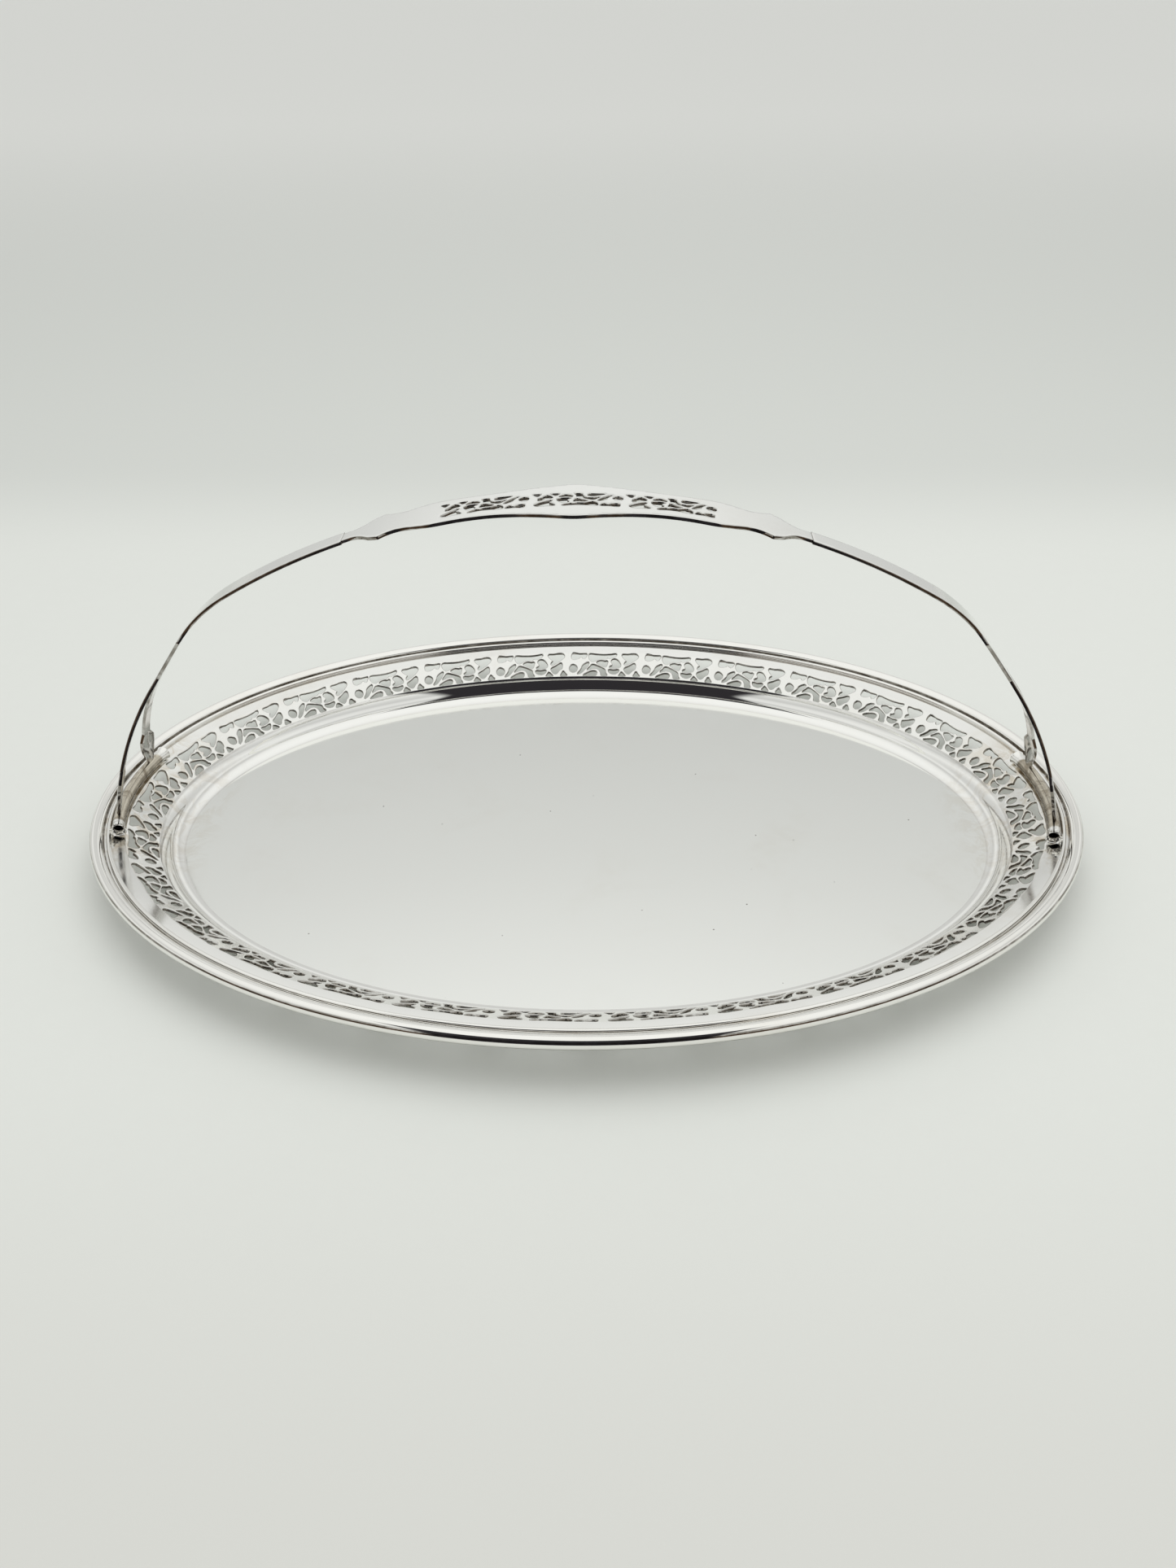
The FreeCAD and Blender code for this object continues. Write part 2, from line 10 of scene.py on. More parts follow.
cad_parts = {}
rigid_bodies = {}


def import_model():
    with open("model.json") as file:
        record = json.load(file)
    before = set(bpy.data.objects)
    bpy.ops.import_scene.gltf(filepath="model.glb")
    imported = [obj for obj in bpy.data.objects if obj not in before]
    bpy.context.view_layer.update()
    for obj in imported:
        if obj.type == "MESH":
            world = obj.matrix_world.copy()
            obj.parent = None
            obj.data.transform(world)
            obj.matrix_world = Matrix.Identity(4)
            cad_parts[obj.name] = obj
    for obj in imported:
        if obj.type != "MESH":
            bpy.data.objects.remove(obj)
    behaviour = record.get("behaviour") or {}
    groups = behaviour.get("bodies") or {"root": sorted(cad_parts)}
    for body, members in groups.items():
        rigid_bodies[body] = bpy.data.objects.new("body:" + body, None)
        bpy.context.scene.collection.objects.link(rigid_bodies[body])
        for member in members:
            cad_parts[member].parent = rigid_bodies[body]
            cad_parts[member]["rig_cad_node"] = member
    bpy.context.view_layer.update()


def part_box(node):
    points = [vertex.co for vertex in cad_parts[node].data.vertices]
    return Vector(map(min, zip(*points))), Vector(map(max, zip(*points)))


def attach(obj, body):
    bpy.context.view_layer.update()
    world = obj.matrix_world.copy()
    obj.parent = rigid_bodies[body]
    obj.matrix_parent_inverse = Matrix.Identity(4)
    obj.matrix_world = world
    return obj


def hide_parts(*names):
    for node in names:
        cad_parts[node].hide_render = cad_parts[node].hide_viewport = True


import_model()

# Every length below is in millimetres, in the CAD model's frame, and becomes metres in add_piece.
MM = 0.001
HALF_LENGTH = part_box("rim_bead")[1].x / MM
HALF_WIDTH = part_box("rim_bead")[1].y / MM
HANDLE_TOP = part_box("handle_grip")[1].z / MM

AROUND = 1440          # steps round the oval
CELLS = 28             # repeats of the pierced motif
FIRST_CELL = 0.2628    # where the first one starts, as a share of the rim from +X
LINE_STEP = 0.5        # step along outlines
HOLE_STEP = 0.32       # step along openings

BRIGHT = (0.93, 0.925, 0.905)
WARM = (0.60, 0.50, 0.36)
# Dark brown for seams, walls and edges: partly grime and tarnish, partly painted shade and painted
# reflection.
DIRT_AND_SHADE = (0.115, 0.088, 0.058)


# ---------------------------------------------------------------- camera
CAMERA_PLACE = Vector((18.7, -350.1, 262.8)) * MM
CAMERA_TARGET = Vector((1.9, 6.8, 15.4)) * MM
CAMERA_ROLL = -1.17


def look(position, target, roll_degrees):
    """A camera's matrix: it looks from position at target, rolled to the right."""
    forward = (target - position).normalized()
    right = forward.cross(Vector((0, 0, 1))).normalized()
    up = right.cross(forward)
    roll = math.radians(roll_degrees)
    tilted_right = right * math.cos(roll) + up * math.sin(roll)
    tilted_up = up * math.cos(roll) - right * math.sin(roll)
    turn = Matrix((tilted_right, tilted_up, -forward)).transposed().to_4x4()
    return Matrix.Translation(position) @ turn


camera_data = bpy.data.cameras.new("camera")
camera_data.sensor_fit = "HORIZONTAL"
camera_data.sensor_width = 36.0
camera_data.lens = 37.41
camera = bpy.data.objects.new("camera", camera_data)
bpy.context.scene.collection.objects.link(camera)
camera.matrix_world = look(CAMERA_PLACE, CAMERA_TARGET, CAMERA_ROLL)
bpy.context.scene.camera = camera


# ---------------------------------------------------------------- materials
class Surface:
    """A node material under construction: small helpers over its node tree."""

    def __init__(self, name):
        self.material = bpy.data.materials.new(name)
        self.material.use_nodes = True
        self.tree = self.material.node_tree
        self.shader = self.tree.nodes["Principled BSDF"]
        coordinates = self.tree.nodes.new("ShaderNodeTexCoord")
        self.place = coordinates.outputs["Object"]

    def link(self, source, target):
        self.tree.links.new(source, target)

    def noise(self, scale, detail=3.0, roughness=0.55, distortion=0.0, stretch=None):
        node = self.tree.nodes.new("ShaderNodeTexNoise")
        node.inputs["Scale"].default_value = scale
        node.inputs["Detail"].default_value = detail
        node.inputs["Roughness"].default_value = roughness
        node.inputs["Distortion"].default_value = distortion
        if stretch:
            mapping = self.tree.nodes.new("ShaderNodeMapping")
            mapping.inputs["Scale"].default_value = stretch[0]
            mapping.inputs["Rotation"].default_value = stretch[1]
            self.link(self.place, mapping.inputs["Vector"])
            self.link(mapping.outputs["Vector"], node.inputs["Vector"])
        else:
            self.link(self.place, node.inputs["Vector"])
        return node.outputs["Fac"]

    def ranged(self, value, low, high, to_low=0.0, to_high=1.0):
        node = self.tree.nodes.new("ShaderNodeMapRange")
        node.interpolation_type = "SMOOTHSTEP"
        node.inputs["From Min"].default_value = low
        node.inputs["From Max"].default_value = high
        node.inputs["To Min"].default_value = to_low
        node.inputs["To Max"].default_value = to_high
        self.link(value, node.inputs["Value"])
        return node.outputs["Result"]

    def maths(self, operation, first, second=None):
        node = self.tree.nodes.new("ShaderNodeMath")
        node.operation = operation
        for socket, value in zip(node.inputs, (first, second)):
            if value is None:
                continue
            if isinstance(value, (int, float)):
                socket.default_value = value
            else:
                self.link(value, socket)
        return node.outputs[0]

    def axis(self, name):
        node = self.tree.nodes.new("ShaderNodeSeparateXYZ")
        self.link(self.place, node.inputs[0])
        return node.outputs[name]

    def mix(self, factor, first, second):
        node = self.tree.nodes.new("ShaderNodeMix")
        node.data_type = "RGBA"
        self.link(factor, node.inputs["Factor"])
        for socket, value in ((node.inputs[6], first), (node.inputs[7], second)):
            if isinstance(value, tuple):
                socket.default_value = value + (1.0,)
            else:
                self.link(value, socket)
        return node.outputs[2]

    def bumps(self, *layers):
        """Stack bumps; each layer is (height, strength, distance in metres)."""
        normal = None
        for height, strength, distance in layers:
            node = self.tree.nodes.new("ShaderNodeBump")
            node.inputs["Strength"].default_value = strength
            node.inputs["Distance"].default_value = distance
            self.link(height, node.inputs["Height"])
            if normal is not None:
                self.link(normal, node.inputs["Normal"])
            normal = node.outputs["Normal"]
        self.link(normal, self.shader.inputs["Normal"])

    def attribute(self, name):
        node = self.tree.nodes.new("ShaderNodeAttribute")
        node.attribute_name = name
        return node.outputs["Fac"]


def end_mask(surface, inner, outer):
    """1 near the two ends of the long axis, falling to 0 away from them."""
    along = surface.maths("ABSOLUTE", surface.axis("X"))
    across = surface.maths("ABSOLUTE", surface.axis("Y"))
    near_end = surface.ranged(along, inner, outer)
    near_axis = surface.ranged(across, 0.052, 0.020)
    return surface.maths("MULTIPLY", near_end, near_axis)


def silver(name, tint, tarnish_tint, tarnish, rough, waviness, ends=None, specks=0.0, walls=0.0,
           seams=(), clean_beyond=None, scratched=0.012):
    """Polished silver: smudges, warm tarnish, hairline scratches and a slight waviness.

    ends: tarnish near the ends of the long axis, as (from, to, strength).
    specks: strength of small dark pits.
    walls: strength of the dark marks on cut walls and along the edges beside them, which also darken the
    legs' inner faces and the tubes' lower sides: partly tarnish, partly painted shade.
    seams: dark lines along the oval, as (inset, reach, strength) in millimetres.
    clean_beyond: distance from the long axis past which the metal is bright.
    """
    surface = Surface(name)
    shader = surface.shader
    shader.inputs["Metallic"].default_value = 1.0
    cloud = surface.noise(22.0, 4.0, 0.6, 0.4)
    stain = surface.ranged(cloud, 0.52, 0.78, 0.0, tarnish)
    fine = surface.noise(260.0, 5.0, 0.65)
    stain = surface.maths("MULTIPLY", stain, surface.ranged(fine, 0.30, 0.65, 0.35, 1.0))
    if ends:
        reach = surface.maths("MULTIPLY", end_mask(surface, ends[0], ends[1]), ends[2])
        blotch = surface.ranged(surface.noise(95.0, 4.0, 0.7, 1.2), 0.42, 0.62)
        stain = surface.maths("MAXIMUM", stain, surface.maths("MULTIPLY", reach, blotch))
    colour = surface.mix(stain, tint, tarnish_tint)
    dirt_and_shade_patches = surface.ranged(surface.noise(140.0, 4.0, 0.7, 0.6), 0.30, 0.62, 0.45, 1.0)
    # Dark lines along the oval, then dark walls and edges: partly grime and tarnish in joints and cuts,
    # partly painted shade and painted reflection.
    for inset, width, strength in seams:
        away = surface.maths("ABSOLUTE", surface.maths("SUBTRACT", surface.attribute("inset"), inset))
        line = surface.ranged(away, width, width * 0.35, 0.0, strength)
        colour = surface.mix(surface.maths("MULTIPLY", line, dirt_and_shade_patches), colour, DIRT_AND_SHADE)
    if walls:
        line = surface.ranged(surface.attribute("brink_tarnish_and_shade"), 0.30, 0.85, 0.0, 0.75)
        wall_tarnish_and_shade = surface.maths("MAXIMUM", surface.attribute("wall_tarnish_and_shade"), line)
        wall_tarnish_and_shade = surface.maths("MULTIPLY", wall_tarnish_and_shade, walls)
        colour = surface.mix(surface.maths("MULTIPLY", wall_tarnish_and_shade, dirt_and_shade_patches), colour, DIRT_AND_SHADE)
    if clean_beyond:
        across = surface.maths("ABSOLUTE", surface.axis("Y"))
        bright = surface.ranged(across, clean_beyond - 0.0012, clean_beyond)
        colour = surface.mix(bright, colour, (0.90, 0.89, 0.86))
    if specks:
        cells = surface.tree.nodes.new("ShaderNodeTexVoronoi")
        cells.inputs["Scale"].default_value = 115.0
        surface.link(surface.place, cells.inputs["Vector"])
        dot = surface.ranged(cells.outputs["Distance"], 0.022, 0.042, 1.0, 0.0)
        sparse = surface.ranged(surface.noise(48.0, 2.0), 0.50, 0.56)
        pit = surface.maths("MULTIPLY", surface.maths("MULTIPLY", dot, sparse), specks)
        colour = surface.mix(pit, colour, (0.22, 0.20, 0.17))
    surface.link(colour, shader.inputs["Base Color"])
    smudge = surface.noise(38.0, 6.0, 0.7, 0.8)
    base = surface.ranged(smudge, 0.30, 0.75, rough[0], rough[1])
    surface.link(surface.maths("ADD", base, surface.maths("MULTIPLY", stain, 0.28)),
                 shader.inputs["Roughness"])
    broad = surface.noise(16.0, 2.0, 0.5)
    scratch = surface.noise(90.0, 4.0, 0.6, 0.0, ((1.0, 26.0, 1.0), (0.0, 0.0, 0.5)))
    surface.bumps((broad, waviness, 0.0008), (scratch, scratched, 0.0002),
                  (fine, 0.8 * scratched, 0.0002))
    return surface.material


well_silver = silver("well_silver", (0.925, 0.93, 0.905), WARM, 0.08, (0.045, 0.10), 0.05,
                     ends=(0.126, 0.142, 0.22), specks=0.8)
cove_silver = silver("cove_silver", BRIGHT, WARM, 0.06, (0.02, 0.05), 0.03,
                     ends=(0.120, 0.150, 0.30), seams=((28.9, 1.0, 0.14), (21.3, 0.7, 0.30)),
                     scratched=0.002)
# The fretwork's dark walls and edge lines are tarnish of the piercings plus painted shade.
border_silver = silver("border_silver", (0.87, 0.865, 0.84), WARM, 0.30, (0.08, 0.16), 0.10,
                       ends=(0.130, 0.150, 0.55), walls=0.85)
# Flange seams: dark lines where the bead (4.45 mm) meets the flange and beside the reed (7.1 mm), grime
# in the joints plus painted shade.
flange_silver = silver("flange_silver", (0.90, 0.895, 0.875), WARM, 0.25, (0.05, 0.13), 0.08,
                       ends=(0.145, 0.158, 0.75), seams=((4.45, 0.40, 0.92), (7.1, 0.35, 0.15)),
                       scratched=0.003)
# Bead seams: the dark brown line at 0.40 mm inset, on the outer shoulder, is a painted reflection of the
# dark room; the dark line at 4.4 mm, where the bead meets the flange, is grime in the joint plus painted
# shade.
bead_silver = silver("bead_silver", (0.93, 0.918, 0.89), WARM, 0.12, (0.03, 0.08), 0.04,
                     seams=((0.40, 0.26, 0.80), (4.4, 0.06, 0.90)), scratched=0.003)
# Its dark walls and edge lines are tarnish plus painted shade; on the legs they also paint shade on the
# inner faces.
handle_silver = silver("handle_silver", (0.92, 0.92, 0.90), WARM, 0.12, (0.06, 0.14), 0.06,
                       walls=0.80)
# The tube's darker lower sides, read through walls, are painted shade.
tube_silver = silver("tube_silver", (0.62, 0.57, 0.48), (0.22, 0.175, 0.12), 0.7, (0.06, 0.14), 0.35,
                     ends=(0.10, 0.12, 0.7), walls=0.92, clean_beyond=0.0206)


# ---------------------------------------------------------------- making pieces
def add_piece(name, points, faces, material, nodes, sharp=38.0):
    """Make a mesh object from points in millimetres; it stands for the named CAD nodes."""
    mesh = bpy.data.meshes.new(name)
    mesh.from_pydata((np.asarray(points) * MM).tolist(), [], faces)
    mesh.validate()
    mesh.update()
    mesh.polygons.foreach_set("use_smooth", [True] * len(mesh.polygons))
    mesh.set_sharp_from_angle(angle=math.radians(sharp))
    mesh.materials.append(material)
    piece = bpy.data.objects.new(name, mesh)
    bpy.context.scene.collection.objects.link(piece)
    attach(piece, "root")
    if nodes:
        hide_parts(*nodes)
    return piece


def mark(piece, name, domain, values):
    """Give the piece an attribute for its material to read."""
    attribute = piece.data.attributes.new(name, "FLOAT", domain)
    attribute.data.foreach_set("value", np.asarray(values, np.float32))


def grid_faces(rows, columns, close_rows, close_columns):
    """Quads over a grid of points numbered row by row."""
    faces = []
    for row in range(rows if close_rows else rows - 1):
        this = row * columns
        following = (row + 1) % rows * columns
        for column in range(columns if close_columns else columns - 1):
            beside = (column + 1) % columns
            faces.append((this + column, this + beside, following + beside, following + column))
    return faces


def oval_ring(name, section, material, node, sharp=38.0):
    """A closed (inset, height) section carried round the oval."""
    section = np.asarray(section, float)
    angle = np.linspace(0, 2 * math.pi, AROUND, endpoint=False)
    points = np.empty((AROUND, len(section), 3))
    points[:, :, 0] = np.outer(np.cos(angle), HALF_LENGTH - section[:, 0])
    points[:, :, 1] = np.outer(np.sin(angle), HALF_WIDTH - section[:, 0])
    points[:, :, 2] = section[:, 1]
    faces = grid_faces(AROUND, len(section), True, True)
    piece = add_piece(name, points.reshape(-1, 3), faces, material, [node], sharp)
    mark(piece, "inset", "POINT", np.tile(section[:, 0], AROUND))
    return piece


def round_section(inset, height, radius, steps):
    """A wire's section, starting at its outer side and going over the top."""
    turn = np.linspace(0, 2 * math.pi, steps, endpoint=False)
    return np.stack([inset - radius * np.cos(turn), height + radius * np.sin(turn)], 1)


# ---------------------------------------------------------------- the oval sheet
GAUGE = 1.0
FLOOR_EDGE = 28.8
FOLD_INSET, FOLD_LEVEL = 21.2, 7.5
BORDER_INSET, BORDER_LEVEL = 11.4, 13.7
FLANGE_INSET, FLANGE_LEVEL = 4.4, 15.2
DROP = 1.18 * GAUGE

# The floor: flat, closed by a fan under and over.
floor_rings = (0.0, 0.25, 0.5, 0.75, 0.92, 1.0)
floor_points = []
floor_faces = []
angle = np.linspace(0, 2 * math.pi, AROUND, endpoint=False)
for level in (GAUGE, 0.0):
    for share in floor_rings[1:]:
        long_part = (HALF_LENGTH - FLOOR_EDGE) * share
        cross_part = (HALF_WIDTH - FLOOR_EDGE) * share
        floor_points.extend(zip(long_part * np.cos(angle), cross_part * np.sin(angle),
                                [level] * AROUND))
rings = len(floor_rings) - 1
for side in range(2):
    base = side * rings * AROUND
    for ring in range(rings - 1):
        for step in range(AROUND):
            beside = (step + 1) % AROUND
            quad = (base + ring * AROUND + step, base + ring * AROUND + beside,
                    base + (ring + 1) * AROUND + beside, base + (ring + 1) * AROUND + step)
            floor_faces.append(quad if side else quad[::-1])
    middle = tuple(base + step for step in range(AROUND))
    floor_faces.append(middle[::-1] if side else middle)
top_edge, low_edge = (rings - 1) * AROUND, (2 * rings - 1) * AROUND
for step in range(AROUND):
    beside = (step + 1) % AROUND
    floor_faces.append((top_edge + step, low_edge + step, low_edge + beside, top_edge + beside))
add_piece("well_floor_plate", floor_points, floor_faces, well_silver, ["well_floor"])

def bend(start, corner, end, steps):
    """Points of a soft bend from start to end, pulled towards corner."""
    share = np.linspace(0, 1, steps)[1:, None]
    start, corner, end = (np.asarray(p, float) for p in (start, corner, end))
    return ((1 - share) ** 2 * start + 2 * share * (1 - share) * corner + share ** 2 * end).tolist()


# The cove: a round from the floor to a leaning wall, then a soft fold.
WALL_LEAN, LOWER_LEAN = (23.75, 4.0), (22.85, 3.6)
upper = [(FLOOR_EDGE, GAUGE)]
upper += bend(upper[0], (25.3, GAUGE), WALL_LEAN, 22)
upper += bend(WALL_LEAN, (22.69, 6.05), (FOLD_INSET, FOLD_LEVEL), 16)
lower = [(FLOOR_EDGE, 0.0)]
lower += bend(lower[0], (24.75, 0.0), LOWER_LEAN, 22)
lower += bend(LOWER_LEAN, (21.9, 5.4), (FOLD_INSET, FOLD_LEVEL - DROP), 16)
oval_ring("cove_wall_round", upper + lower[::-1], cove_silver, "cove_wall")

# The flange: very slightly hollow, from the piercing to the bead.
flange_top = [(BORDER_INSET, BORDER_LEVEL)]
flange_top += bend((BORDER_INSET, BORDER_LEVEL), (8.2, 14.30), (FLANGE_INSET, FLANGE_LEVEL), 11)
flange_low = [(inset, height - DROP + 0.02 * (BORDER_INSET - inset)) for inset, height in flange_top]
oval_ring("rim_flange_strip", flange_top + flange_low[::-1], flange_silver, "rim_flange")

# The rim wire, round but for a slope on its inner shoulder, and the thin reed inside it.
BEAD_RADIUS, BEAD_LEVEL, BEAD_STEPS = 2.2, 15.4, 72
BEAD_SHOULDER = (3.85, 16.85)
bead_round = round_section(BEAD_RADIUS, BEAD_LEVEL, BEAD_RADIUS, BEAD_STEPS)
bead_section = bead_round[:BEAD_STEPS // 4 + 1].tolist()
bead_section += bend(bead_section[-1], (3.15, 17.42), BEAD_SHOULDER, 9)
bead_section += bend(BEAD_SHOULDER, (4.38, 16.44), (2 * BEAD_RADIUS, 16.1), 9)
bead_section += bead_round[BEAD_STEPS // 2:].tolist()
oval_ring("rim_bead_wire", bead_section, bead_silver, "rim_bead", 80.0)
REED_INSET, REED_LEVEL, REED_RADIUS = 6.2, 15.48, 0.75
reed_section = round_section(REED_INSET, REED_LEVEL, REED_RADIUS, 20)
oval_ring("inner_reed_wire", reed_section, bead_silver, "inner_reed", 80.0)


# ---------------------------------------------------------------- pierced plates
# Openings of one repeat, as closed curves through (along, across) points: along runs clockwise
# seen from above, across runs from the inner edge (0) to the outer one (1).
OPENINGS = (
    # under the rim, beside the flower
    ((0.105, 0.95), (0.15, 0.93), (0.20, 0.905), (0.285, 0.91), (0.275, 0.83), (0.25, 0.74),
     (0.225, 0.82), (0.19, 0.80), (0.17, 0.75), (0.11, 0.72), (0.09, 0.80)),
    # eye of the small ring
    ((0.06, 0.33), (0.075, 0.43), (0.10, 0.47), (0.135, 0.43), (0.155, 0.35), (0.145, 0.25),
     (0.115, 0.19), (0.075, 0.22)),
    # slit between the flower's leaf and the slanting stem
    ((0.17, 0.12), (0.20, 0.22), (0.225, 0.33), (0.24, 0.44), (0.285, 0.53), (0.315, 0.55),
     (0.29, 0.40), (0.255, 0.28), (0.21, 0.16)),
    # long gap under the crossing
    ((0.30, 0.28), (0.335, 0.38), (0.37, 0.47), (0.44, 0.41), (0.50, 0.34), (0.535, 0.27),
     (0.545, 0.14), (0.565, 0.04), (0.50, 0.04), (0.49, 0.14), (0.47, 0.26), (0.43, 0.335),
     (0.37, 0.34)),
    # under the curled branch
    ((0.245, 0.04), (0.28, 0.10), (0.33, 0.17), (0.38, 0.205), (0.42, 0.18), (0.42, 0.10),
     (0.40, 0.04), (0.32, 0.035)),
    # long gap under the rim
    ((0.33, 0.905), (0.42, 0.885), (0.52, 0.87), (0.62, 0.89), (0.685, 0.92), (0.675, 0.85),
     (0.64, 0.79), (0.60, 0.76), (0.57, 0.79), (0.54, 0.735), (0.48, 0.73), (0.43, 0.69),
     (0.375, 0.62), (0.345, 0.67), (0.325, 0.78)),
    # eye of the leaf
    ((0.43, 0.575), (0.48, 0.64), (0.535, 0.605), (0.57, 0.62), (0.56, 0.50), (0.55, 0.41),
     (0.53, 0.40), (0.47, 0.50)),
    # inside the large loop, above and below the stem that crosses it
    ((0.645, 0.70), (0.685, 0.695), (0.72, 0.62), (0.745, 0.50), (0.74, 0.41), (0.70, 0.37),
     (0.64, 0.355), (0.605, 0.385), (0.64, 0.44), (0.65, 0.52), (0.63, 0.62)),
    ((0.595, 0.265), (0.66, 0.25), (0.725, 0.275), (0.715, 0.19), (0.68, 0.125), (0.645, 0.13),
     (0.61, 0.17)),
    # beside the rim's curl
    ((0.775, 0.90), (0.85, 0.905), (0.925, 0.94), (0.97, 0.90), (0.98, 0.83), (0.955, 0.74),
     (0.91, 0.64), (0.86, 0.55), (0.81, 0.50), (0.815, 0.58), (0.84, 0.66), (0.81, 0.74),
     (0.785, 0.82)),
    # under the long stem
    ((0.81, 0.34), (0.87, 0.43), (0.935, 0.54), (0.95, 0.44), (0.94, 0.33), (0.905, 0.26),
     (0.885, 0.18), (0.86, 0.135), (0.83, 0.19), (0.815, 0.26)),
    # two small gaps on the inner edge
    ((0.735, 0.04), (0.75, 0.10), (0.768, 0.17), (0.795, 0.11), (0.82, 0.04), (0.78, 0.03)),
    ((0.935, 0.04), (0.95, 0.12), (0.968, 0.20), (0.995, 0.11), (1.015, 0.04), (0.975, 0.03)),
)


def smooth_loop(points, spacing):
    """A closed curve through the points, as evenly spaced points along it."""
    points = np.asarray(points, float)
    count = len(points)
    dense = []
    for place in range(count):
        before, here, after, beyond = (points[(place + shift) % count] for shift in (-1, 0, 1, 2))
        for share in np.linspace(0, 1, 12, endpoint=False):
            dense.append(0.5 * (2 * here + (after - before) * share
                                + (2 * before - 5 * here + 4 * after - beyond) * share ** 2
                                + (3 * here - before - 3 * after + beyond) * share ** 3))
    return even_steps(np.array(dense + dense[:1]), spacing)[:-1]


def even_steps(line, spacing):
    """The same line in steps of about spacing, its two ends kept."""
    lengths = np.linalg.norm(np.diff(line, axis=0), axis=1)
    run = np.concatenate([[0.0], np.cumsum(lengths)])
    steps = max(3, int(round(run[-1] / spacing)))
    wanted = np.linspace(0, run[-1], steps + 1)
    return np.stack([np.interp(wanted, run, line[:, axis]) for axis in range(2)], 1)


def inside(points, loop):
    """Which points lie inside the closed loop."""
    x, y = points[:, 0:1], points[:, 1:2]
    x0, y0 = loop[:, 0], loop[:, 1]
    x1, y1 = np.roll(x0, -1), np.roll(y0, -1)
    crosses = (y0 > y) != (y1 > y)
    with np.errstate(divide="ignore", invalid="ignore"):
        where = (x1 - x0) * (y - y0) / (y1 - y0) + x0
    return (np.count_nonzero(crosses & (x < where), axis=1) % 2) == 1


def nearest(points, others):
    """Distance from each point to the closest of the others."""
    result = np.empty(len(points))
    for start in range(0, len(points), 2000):
        part = points[start:start + 2000]
        gaps = ((part[:, None, :] - others[None, :, :]) ** 2).sum(2)
        result[start:start + 2000] = np.sqrt(gaps.min(1))
    return result


class Plate:
    """A flat pierced outline cut into triangles, ready to be bent on to a surface."""

    def __init__(self, outline, holes, spacing, rings, free_edges=None):
        loops = [np.asarray(outline, float)] + [np.asarray(hole, float) for hole in holes]
        cut = np.concatenate(loops[1:]) if holes else loops[0]
        edge_points = cut if free_edges is None else np.concatenate([cut, free_edges])
        low, high = loops[0].min(0), loops[0].max(0)
        layers = []
        for depth in rings:
            for loop in loops:
                ahead = np.roll(loop, -1, axis=0) - np.roll(loop, 1, axis=0)
                normal = np.stack([-ahead[:, 1], ahead[:, 0]], 1)
                normal /= np.linalg.norm(normal, axis=1)[:, None] + 1e-12
                for side in (-1, 1):
                    layers.append(loop + normal * depth * side)
        ring_points = np.concatenate(layers)
        ring_points = self.kept(ring_points, loops, rings[0] * 0.9)
        ring_points = self.thinned(ring_points, rings[0] * 0.7)
        grid = []
        for number, row in enumerate(np.arange(low[1] + spacing / 2, high[1], spacing * 0.87)):
            along = np.arange(low[0] + spacing / 2 * (1 + number % 2), high[0], spacing)
            grid.append(np.stack([along, np.full(len(along), row)], 1))
        grid = self.kept(np.concatenate(grid), loops, rings[-1] + spacing * 0.3)
        points = np.concatenate(loops + [ring_points, grid])
        edges = []
        start = 0
        for loop in loops:
            edges += [(start + step, start + (step + 1) % len(loop)) for step in range(len(loop))]
            start += len(loop)
        result = delaunay_2d_cdt([Vector(p) for p in points.tolist()], edges, [], 0, 1e-6)
        self.points = np.array([tuple(p) for p in result[0]])
        triangles = np.array([face for face in result[2]])
        centres = self.points[triangles].mean(1)
        keep = inside(centres, loops[0])
        for hole in loops[1:]:
            keep &= ~inside(centres, hole)
        self.triangles = triangles[keep]
        directed = dict.fromkeys(pair for a, b, c in self.triangles.tolist()
                                 for pair in ((a, b), (b, c), (c, a)))
        self.border = [pair for pair in directed if (pair[1], pair[0]) not in directed]
        self.depth = nearest(self.points, edge_points)

    @staticmethod
    def kept(points, loops, margin):
        """The points that lie on the plate, at least margin from every edge."""
        keep = inside(points, loops[0])
        for hole in loops[1:]:
            keep &= ~inside(points, hole)
        points = points[keep]
        return points[nearest(points, np.concatenate(loops)) > margin]

    @staticmethod
    def thinned(points, spacing):
        """One point for each square of the spacing."""
        cells = np.round(points / spacing).astype(int)
        first = np.unique(cells, axis=0, return_index=True)[1]
        return points[np.sort(first)]

    def relief(self, height, reach):
        """How far each point sinks below the face: edges are rounded over."""
        share = np.clip(1 - self.depth / reach, 0, 1)
        return height * (1 - np.sqrt(np.clip(1 - share ** 2, 0, 1)))


def plate_solid(plate, top, bottom, skip_edge=None):
    """Points and faces of a plate with a bent top and bottom and walls at its edges."""
    count = len(plate.points)
    points = np.concatenate([top, bottom])
    faces = [tuple(t) for t in plate.triangles.tolist()]
    faces += [(a + count, c + count, b + count) for a, b, c in plate.triangles.tolist()]
    for a, b in plate.border:
        if skip_edge is not None and skip_edge(plate.points[a], plate.points[b]):
            continue
        faces.append((b, a, a + count, b + count))
    return points, faces


BRINK = 0.34           # how far from an edge the dark line reaches: tarnish plus painted shade


def mark_sawn(piece, depth):
    """Mark the walls, the piece's only four-sided faces, and a band along every edge, for the material
    to darken: tarnish of the cuts plus painted shade.
    """
    sides = np.empty(len(piece.data.polygons), np.int32)
    piece.data.polygons.foreach_get("loop_total", sides)
    mark(piece, "wall_tarnish_and_shade", "FACE", sides == 4)
    mark(piece, "brink_tarnish_and_shade", "POINT", np.clip(1 - depth / BRINK, 0, 1))


# ---------------------------------------------------------------- the pierced border
PITCH = 29.1
SLANT = 11.6
BORDER_GAUGE = 0.95
CELL_START = 0.03

